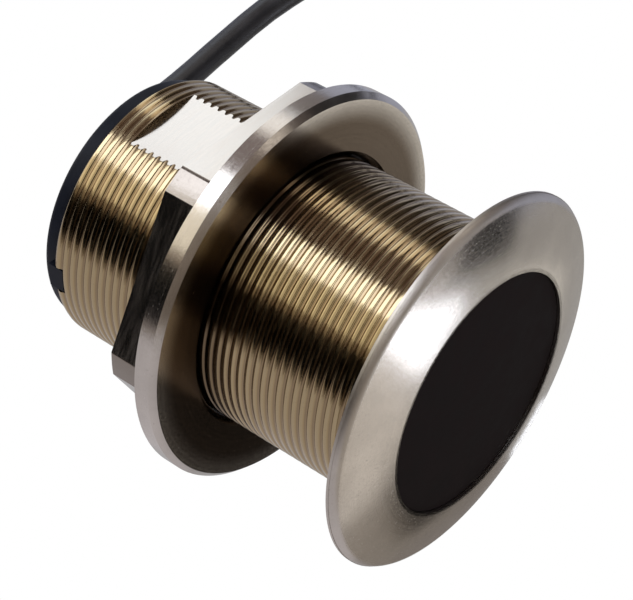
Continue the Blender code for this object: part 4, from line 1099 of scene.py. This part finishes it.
class TRANSDUCER_OT_plug(bpy.types.Operator):
    """Round plug: ribbed boot, grip, screw collar, insert, seal and pins"""

    bl_idname = "transducer.plug"
    bl_label = "Plug"

    def execute(self, context):
        axis = Vector((0.0, (BOOT_LOW.y + BOOT_HIGH.y) / 2.0, (BOOT_LOW.z + BOOT_HIGH.z) / 2.0))
        self.start = BOOT_HIGH.x
        lying = Matrix.Rotation(math.radians(-90.0), 4, "Y")
        self.place = Matrix.Translation((self.start, axis.y, axis.z)) @ lying
        plastic = moulded("plug_plastic", colours().plug, 0.42, 1300.0)
        rubber = moulded("plug_rubber", colours().jacket, 0.6, 900.0)
        self.boot(rubber)
        self.grip(plastic)
        self.collar(plastic)
        self.contacts(plastic)
        return {"FINISHED"}

    def boot(self, rubber):
        """Tapered boot with ribs round it."""
        end = self.start - BOOT_LOW.x
        tip = BOOT_TIP_RADIUS
        wide = (BOOT_HIGH.z - BOOT_LOW.z) / 2.0
        outline = [(0.0, BOOT_BORE_DEPTH), (BOOT_BORE_RADIUS, BOOT_BORE_DEPTH), (BOOT_BORE_RADIUS, 0.0)]
        outline.append((tip - BOOT_TIP_EDGE, 0.0))
        step = (end - BOOT_SLEEVE_LENGTH) / RIB_COUNT
        for rib in range(RIB_COUNT):
            low = RIB_START + rib * step
            radius = tip + (wide - tip) * (low + step) / end
            outline += along(RIB_RISE, radius, low) + along(RIB_FALL, radius, low + step)
        outline += along(BOOT_SLEEVE_PROFILE, wide, RIB_START + RIB_COUNT * step)
        outline += [(wide, end), (0.0, end)]
        boot = add_piece("plug_boot_dressed", turned(outline, PLUG_STEPS, self.place), rubber, RIBBED_SHARP)
        dress(boot, "root", "rubber", "plug_boot")

    def grip(self, plastic):
        """Grip with its shallow waist, and the barrel in front of it."""
        begin = self.start - GRIP_HIGH.x
        end = self.start - GRIP_LOW.x
        wide = (GRIP_HIGH.z - GRIP_LOW.z) / 2.0
        shoulder = begin + GRIP_LENGTH
        back = shoulder + RETAINER_START
        front = shoulder + RETAINER_END
        cavity = BARREL_CAVITY_RADIUS
        outline = [(0.0, begin)] + arc((wide - GRIP_EDGE, begin + GRIP_EDGE), GRIP_EDGE, -90.0, 0.0, 4)
        outline += along(GRIP_WAIST, wide, begin) + along(GRIP_SHOULDER, wide, shoulder)
        outline += [(BARREL_RADIUS, shoulder), (BARREL_RADIUS, back), (RETAINER_RADIUS, back)]
        outline += [(RETAINER_RADIUS, front), (BARREL_RADIUS, front), (BARREL_RADIUS, end - BARREL_EDGE)]
        outline += [(BARREL_RADIUS - BARREL_EDGE, end), (cavity + BARREL_EDGE, end)]
        outline.append((cavity, end - BARREL_EDGE))
        outline += [(cavity, end - BARREL_CAVITY_DEPTH), (0.0, end - BARREL_CAVITY_DEPTH)]
        body = add_piece("plug_body_dressed", turned(outline, PLUG_STEPS, self.place), plastic)
        dress(body, "root", "plug_plastic", "plug_body")

    def collar(self, plastic):
        """Screw collar with grip ribs outside and ridges like a thread's inside."""
        begin = self.start - COLLAR_HIGH.x
        end = self.start - COLLAR_LOW.x
        wide = (COLLAR_HIGH.z - COLLAR_LOW.z) / 2.0
        inner = wide - COLLAR_WALL
        outline = [(COLLAR_HOLE_RADIUS, begin)] + along(COLLAR_REAR, wide, begin)
        outline += along(COLLAR_FRONT_GROOVE, wide, end) + along(COLLAR_FRONT, wide, end)
        outline += [(inner + COLLAR_EDGE, end), (inner, end - COLLAR_EDGE)]
        for turn in range(int((end - begin - COLLAR_THREAD_MARGIN) / COLLAR_THREAD_PITCH)):
            outline += along(COLLAR_THREAD, inner, end - COLLAR_THREAD_START - turn * COLLAR_THREAD_PITCH)
        outline += [(inner, begin + COLLAR_REAR_WALL), (COLLAR_HOLE_RADIUS, begin + COLLAR_REAR_WALL)]
        shape = turned(outline, COLLAR_STEPS)
        for vert in shape.verts:
            radius = vert.co.xy.length
            ribbed = begin + COLLAR_RIBS_START < vert.co.z < end - COLLAR_RIBS_END
            index = round(math.atan2(vert.co.y, vert.co.x) * COLLAR_STEPS / math.tau)
            if radius > wide - COLLAR_SKIN and ribbed and index % 4 in (2, 3):
                vert.co.xy *= (radius - COLLAR_GROOVE) / radius
        bmesh.ops.transform(shape, matrix=self.place, verts=shape.verts)
        bmesh.ops.recalc_face_normals(shape, faces=shape.faces)
        collar = add_piece("plug_collar_dressed", shape, plastic)
        dress(collar, "collar", "plug_plastic", "plug_collar")

    def contacts(self, plastic):
        """Insert that holds the pins, with the seal and the pins themselves."""
        begin = self.start - INSERT_HIGH.x
        end = self.start - INSERT_LOW.x
        radius = (INSERT_HIGH.z - INSERT_LOW.z) / 2.0
        outline = [(0.0, begin), (radius, begin), (radius, end - INSERT_EDGE), (radius - INSERT_EDGE, end)]
        outline.append((0.0, end))
        insert = add_piece("plug_insert_dressed", turned(outline, PLUG_STEPS, self.place), plastic)
        dress(insert, "root", "plug_plastic", "plug_insert")
        self.seal()
        self.pins(end)

    def seal(self):
        """Seal on the barrel, in front of the collar's retainer."""
        low = self.start - GRIP_HIGH.x + GRIP_LENGTH + RETAINER_END + GAP
        centre = (BARREL_RADIUS + GAP + SEAL_RADIUS, low + SEAL_RADIUS)
        ring = arc(centre, SEAL_RADIUS, 0.0, 360.0, 12)[:-1]
        rubber = moulded("seal_rubber", (0.02, 0.02, 0.022), 0.45, 900.0)
        seal = add_piece("plug_seal_dressed", turned(ring, PLUG_STEPS, self.place), rubber)
        dress(seal, "root", "rubber", "plug_seal")

    def pins(self, face):
        """Pins with round tips: one in the middle of the insert's face and the others in a circle."""
        outline = [(0.0, face - PIN_ROOT), (PIN_RADIUS, face - PIN_ROOT), (PIN_RADIUS, face + PIN_SHOULDER)]
        outline += arc((0.0, face + PIN_TIP), PIN_RADIUS, 15.0, 90.0, 4)[:-1] + [(0.0, face + PIN_REACH)]
        turns = [math.tau * index / PINS_IN_CIRCLE for index in range(PINS_IN_CIRCLE)]
        places = [Vector((0.0, 0.0, 0.0))]
        places += [PIN_CIRCLE_RADIUS * Vector((math.cos(turn), math.sin(turn), 0.0)) for turn in turns]
        pins = bmesh.new()
        for place in places:
            pin = turned(outline, PIN_STEPS, self.place @ Matrix.Translation(place))
            mesh = bpy.data.meshes.new("pin")
            pin.to_mesh(mesh)
            pin.free()
            pins.from_mesh(mesh)
            bpy.data.meshes.remove(mesh)
        piece = add_piece("plug_pins_dressed", pins, plated_pin())
        dress(piece, "root", "pin_brass", *[f"plug_pin_{index + 1}" for index in range(len(places))])


class TRANSDUCER_OT_inner_pieces(bpy.types.Operator):
    """Finishes of the pieces that are sealed inside"""

    bl_idname = "transducer.inner_pieces"
    bl_label = "Inner pieces"

    def execute(self, context):
        foam = grained("foam", (0.42, 0.30, 0.17), (0.62, 0.49, 0.32), 1800.0, 0.9)
        epoxy = grained("epoxy", (0.06, 0.03, 0.014), (0.11, 0.06, 0.025), 300.0, 0.25)
        wire = grained("wire", (0.30, 0.03, 0.025), (0.42, 0.05, 0.04), 900.0, 0.45)
        plastic = moulded("cup_plastic", colours().cap, 0.45, 1300.0)
        finishes = {
            "cap_seal": moulded("ring_rubber", colours().jacket, 0.5, 900.0),
            "element_cup": plastic,
            "isolation_sleeve": foam,
            "ceramic_element": grained("ceramic", (0.50, 0.46, 0.37), (0.68, 0.64, 0.54), 700.0, 0.5),
            "backing_pad": foam,
            "front_lead": wire,
            "rear_lead": wire,
            "element_potting": epoxy,
            "circuit_board": laminate(),
            "transformer_core": grained("ferrite", (0.035, 0.035, 0.04), (0.07, 0.07, 0.075), 2200.0, 0.6),
            "transformer_winding": wound_copper(),
            "id_chip": plastic,
            "thermistor": grained("bead", (0.14, 0.08, 0.04), (0.24, 0.15, 0.08), 2000.0, 0.3),
            "thermistor_lead": wire,
            "rear_potting": epoxy,
            "board_lead": wire,
        }
        for name, material in finishes.items():
            node = frame["nodes"][name]
            node.data.materials.clear()
            node.data.materials.append(material)
        return {"FINISHED"}


# Stage

AIM = Vector((0.0, 0.0, 0.04))
LENS = 123.74
SENSOR_WIDTH = 36.0
CAMERA_PLACE = Vector((-0.001169, -0.335205, -0.143135))
CAMERA_RIGHT = Vector((0.49462, 0.40793, -0.76743))
CAMERA_UP = Vector((0.8691, -0.23562, 0.4349))
FLOOR_RADIUS = 3.0
FLOOR_GREY = 0.86
WORLD_LIGHT = 0.55
WORLD_SEEN = 1.0
LAMPS = {
    "lamp_left": ((-0.7, -0.9, 0.9), 0.8, 9.0),
    "lamp_right": ((0.9, -0.6, 0.7), 0.6, 6.0),
    "lamp_low": ((0.1, -0.8, -0.7), 0.7, 5.0),
}

# Cards: directions round the aim from +X, elevations, both in degrees, and brightness.
# The names say what the metal shows of them in the picture
CARD_STEPS = 12
CARD_RADIUS = 0.35
CARDS = {
    "card_tan": ((126.0, 211.0), (-45.0, 78.0), (0.62, 0.60, 0.64)),
    "card_tan_edge": ((211.0, 217.0), (-45.0, 78.0), (0.30, 0.26, 0.24)),
    "card_black": ((-143.0, -109.0), (-45.0, 78.0), (0.0, 0.0, 0.0)),
    "card_amber": ((-109.0, -102.0), (-45.0, 78.0), (0.28, 0.22, 0.17)),
    "card_gold": ((-102.0, -76.0), (-45.0, 29.0), (0.88, 0.82, 0.68)),
    "card_gold_high": ((-102.0, -76.0), (29.0, 78.0), (1.5, 1.4, 1.2)),
    "card_white": ((-76.0, -57.0), (-45.0, 78.0), (3.2, 3.4, 3.8)),
    "card_brown": ((-57.0, -29.0), (-45.0, 30.0), (0.18, 0.13, 0.12)),
    "card_brown_high": ((-57.0, -24.0), (30.0, 78.0), (0.34, 0.31, 0.32)),
    "card_cream": ((-29.0, -12.0), (-45.0, 29.0), (1.35, 1.25, 1.15)),
    "card_cream_high": ((-24.0, -4.0), (29.0, 78.0), (1.7, 1.82, 1.98)),
    "card_dark": ((-12.0, 20.0), (-45.0, 29.0), (0.10, 0.08, 0.075)),
    "card_dark_high": ((-4.0, 20.0), (29.0, 78.0), (0.40, 0.38, 0.40)),
    "card_grey": ((20.0, 59.0), (-45.0, 78.0), (0.46, 0.49, 0.62)),
    "card_pale": ((59.0, 126.0), (4.0, 78.0), (0.50, 0.50, 0.52)),
    "card_floor": ((126.0, 210.0), (-78.0, -45.0), (0.42, 0.38, 0.34)),
    "card_floor_front": ((210.0, 340.0), (-78.0, -45.0), (0.24, 0.20, 0.17)),
    "card_floor_right": ((-20.0, 59.0), (-78.0, -45.0), (0.42, 0.40, 0.40)),
    "card_bevel_left": ((93.0, 126.0), (-78.0, -38.0), (0.80, 0.76, 0.72)),
    "card_bevel_far": ((93.0, 126.0), (-38.0, -15.0), (0.33, 0.30, 0.27)),
    "card_bevel_end": ((93.0, 126.0), (-15.0, 4.0), (0.26, 0.235, 0.22)),
    "card_bevel_right": ((59.0, 93.0), (-57.0, 4.0), (0.44, 0.43, 0.42)),
    "card_bevel_low": ((59.0, 93.0), (-78.0, -57.0), (0.50, 0.47, 0.45)),
    "card_top": ((0.0, 360.0), (78.0, 90.0), (1.0, 1.0, 1.0)),
    "card_bottom": ((0.0, 360.0), (-90.0, -78.0), (0.4, 0.38, 0.36)),
}
SMALL_CARD_RADIUS = 0.34
SMALL_CARDS = {
    "card_smudge": ((46.0, 69.0), (-57.0, -40.0), (0.0, 0.0, 0.0)),
    "card_patch_front": ((75.5, 92.0), (-84.0, -49.0), (3.4, 3.6, 4.1)),
    "card_patch_far": ((88.0, 92.5), (-1.0, 5.0), (2.4, 2.5, 2.7)),
    "card_washer_dark": ((83.0, 106.0), (-40.0, -20.0), (0.01, 0.008, 0.006)),
    "card_washer_right": ((74.5, 83.0), (-40.0, -22.0), (0.95, 0.93, 0.88)),
    "card_washer_brown": ((106.0, 109.0), (-40.0, -20.0), (0.16, 0.14, 0.12)),
    "card_shade_front": ((-150.0, -15.0), (-38.0, -22.0), (0.03, 0.02, 0.015)),
}


def card_shape(around, between, radius):
    """Return a curved card between two directions and two elevations, in degrees."""
    shape = bmesh.new()
    outline = arc((0.0, 0.0), radius, between[0], between[1], CARD_STEPS)
    verts, edges = chain(shape, [(across, 0.0, height) for across, height in outline])
    start = Matrix.Rotation(math.radians(around[0]), 4, "Z")
    bmesh.ops.transform(shape, matrix=start, verts=shape.verts)
    spin_round(shape, verts + edges, math.radians(around[1] - around[0]), CARD_STEPS)
    return shape


def empty_tree(owner):
    """Return the node tree of a material or world, emptied."""
    owner.use_nodes = True
    owner.node_tree.nodes.clear()
    return owner.node_tree


def link(tree, *pairs):
    """Join outputs to sockets."""
    for output, socket in pairs:
        tree.links.new(output, socket)


def glow(name, colour):
    """Return a material that gives off an even light."""
    material = bpy.data.materials.new(name)
    tree = empty_tree(material)
    light = tree.nodes.new("ShaderNodeEmission")
    light.inputs["Color"].default_value = (*colour, 1.0)
    output = tree.nodes.new("ShaderNodeOutputMaterial")
    link(tree, (light.outputs["Emission"], output.inputs["Surface"]))
    return material


class TRANSDUCER_OT_stage(bpy.types.Operator):
    """Camera, floor, reflected cards, lamps and white world"""

    bl_idname = "transducer.stage"
    bl_label = "Stage"

    def execute(self, context):
        self.camera(context.scene)
        self.floor()
        self.cards()
        self.lamps()
        self.world(context.scene)
        context.scene.view_settings.view_transform = "Standard"
        return {"FINISHED"}

    def camera(self, scene):
        """Camera below the flange, looking up the stem, as the photograph was taken."""
        data = bpy.data.cameras.new("camera")
        data.lens = LENS
        data.sensor_width = SENSOR_WIDTH
        data.clip_start = 0.01
        camera = bpy.data.objects.new("camera", data)
        scene.collection.objects.link(camera)
        turn = Matrix((CAMERA_RIGHT, CAMERA_UP, CAMERA_RIGHT.cross(CAMERA_UP))).transposed().to_4x4()
        camera.matrix_world = Matrix.Translation(CAMERA_PLACE) @ turn
        scene.camera = camera

    def floor(self):
        """Pale floor that shows from above only."""
        shape = bmesh.new()
        bmesh.ops.create_circle(shape, cap_ends=True, segments=64, radius=FLOOR_RADIUS)
        material = bpy.data.materials.new("floor")
        tree = empty_tree(material)
        path = tree.nodes.new("ShaderNodeLightPath")
        geometry = tree.nodes.new("ShaderNodeNewGeometry")
        front = tree.nodes.new("ShaderNodeMath")
        front.operation = "SUBTRACT"
        front.use_clamp = True
        clear = tree.nodes.new("ShaderNodeBsdfTransparent")
        pale = tree.nodes.new("ShaderNodeBsdfDiffuse")
        pale.inputs["Color"].default_value = (FLOOR_GREY, FLOOR_GREY, FLOOR_GREY, 1.0)
        mix = tree.nodes.new("ShaderNodeMixShader")
        output = tree.nodes.new("ShaderNodeOutputMaterial")
        link(
            tree,
            (path.outputs["Is Camera Ray"], front.inputs[0]),
            (geometry.outputs["Backfacing"], front.inputs[1]),
            (front.outputs["Value"], mix.inputs["Fac"]),
            (clear.outputs["BSDF"], mix.inputs[1]),
            (pale.outputs["BSDF"], mix.inputs[2]),
            (mix.outputs["Shader"], output.inputs["Surface"]),
        )
        floor = add_piece("floor", shape, material)

    def cards(self):
        """Cards all round that only the metal's gloss sees."""
        made = [(name, CARD_RADIUS, *values) for name, values in CARDS.items()]
        made += [(name, SMALL_CARD_RADIUS, *values) for name, values in SMALL_CARDS.items()]
        for name, radius, around, between, colour in made:
            card = add_piece(name, card_shape(around, between, radius), glow(name, colour))
            card.location = AIM
            card.visible_camera = False
            card.visible_diffuse = False
            card.visible_shadow = False
            card.visible_transmission = False

    def lamps(self):
        """Large soft lamps above and in front."""
        for name, (place, size, power) in LAMPS.items():
            data = bpy.data.lights.new(name, "AREA")
            data.size = size
            data.energy = power
            lamp = bpy.data.objects.new(name, data)
            bpy.context.scene.collection.objects.link(lamp)
            lamp.location = place
            lamp.rotation_euler = (AIM - Vector(place)).to_track_quat("-Z", "Y").to_euler()
            lamp.visible_glossy = False

    def world(self, scene):
        """White behind the object, softer as light."""
        world = bpy.data.worlds.new("world")
        scene.world = world
        tree = empty_tree(world)
        path = tree.nodes.new("ShaderNodeLightPath")
        seen = tree.nodes.new("ShaderNodeMath")
        seen.operation = "MAXIMUM"
        through = tree.nodes.new("ShaderNodeMath")
        through.operation = "MAXIMUM"
        strength = tree.nodes.new("ShaderNodeMapRange")
        strength.inputs["To Min"].default_value = WORLD_LIGHT
        strength.inputs["To Max"].default_value = WORLD_SEEN
        back = tree.nodes.new("ShaderNodeBackground")
        back.inputs["Color"].default_value = (1.0, 1.0, 1.0, 1.0)
        output = tree.nodes.new("ShaderNodeOutputWorld")
        link(
            tree,
            (path.outputs["Is Camera Ray"], seen.inputs[0]),
            (path.outputs["Is Glossy Ray"], seen.inputs[1]),
            (seen.outputs["Value"], through.inputs[0]),
            (path.outputs["Is Transmission Ray"], through.inputs[1]),
            (through.outputs["Value"], strength.inputs["Value"]),
            (strength.outputs["Result"], back.inputs["Strength"]),
            (back.outputs["Background"], output.inputs["Surface"]),
        )


OPERATORS = (
    TRANSDUCER_OT_stage,
    TRANSDUCER_OT_cable,
    TRANSDUCER_OT_housing,
    TRANSDUCER_OT_hull_nut,
    TRANSDUCER_OT_window,
    TRANSDUCER_OT_rear_cap,
    TRANSDUCER_OT_ties,
    TRANSDUCER_OT_plug,
    TRANSDUCER_OT_inner_pieces,
)
GROUPS = {
    "transducer_sizes": TransducerSizes,
    "transducer_angles": TransducerAngles,
    "transducer_cable": CableSizes,
    "transducer_colours": TransducerColours,
}


class TRANSDUCER_PT_panel(bpy.types.Panel):
    """Lists the transducer's settings and pieces"""

    bl_idname = "TRANSDUCER_PT_panel"
    bl_label = "Transducer"
    bl_space_type = "VIEW_3D"
    bl_region_type = "UI"
    bl_category = "Transducer"

    def draw(self, context):
        for name in GROUPS:
            group = getattr(context.scene, name)
            box = self.layout.box()
            for setting in group.bl_rna.properties.keys():
                if setting not in ("rna_type", "name"):
                    box.prop(group, setting)
        for operator in OPERATORS:
            self.layout.operator(operator.bl_idname)


def register():
    """Register the classes and put the settings on the scene."""
    for group in GROUPS.values():
        bpy.utils.register_class(group)
    for name, group in GROUPS.items():
        setattr(bpy.types.Scene, name, bpy.props.PointerProperty(type=group))
    for operator in OPERATORS:
        bpy.utils.register_class(operator)
    bpy.utils.register_class(TRANSDUCER_PT_panel)


def unregister():
    """Take the classes and settings away again."""
    bpy.utils.unregister_class(TRANSDUCER_PT_panel)
    for operator in reversed(OPERATORS):
        bpy.utils.unregister_class(operator)
    for name in GROUPS:
        delattr(bpy.types.Scene, name)
    for group in reversed(GROUPS.values()):
        bpy.utils.unregister_class(group)


def main():
    """Build the stage and every piece."""
    register()
    bpy.ops.transducer.stage()
    bpy.ops.transducer.cable()
    bpy.ops.transducer.housing()
    bpy.ops.transducer.hull_nut()
    bpy.ops.transducer.window()
    bpy.ops.transducer.rear_cap()
    bpy.ops.transducer.ties()
    bpy.ops.transducer.plug()
    bpy.ops.transducer.inner_pieces()
    declare_cable()


if __name__ == "__main__":
    main()
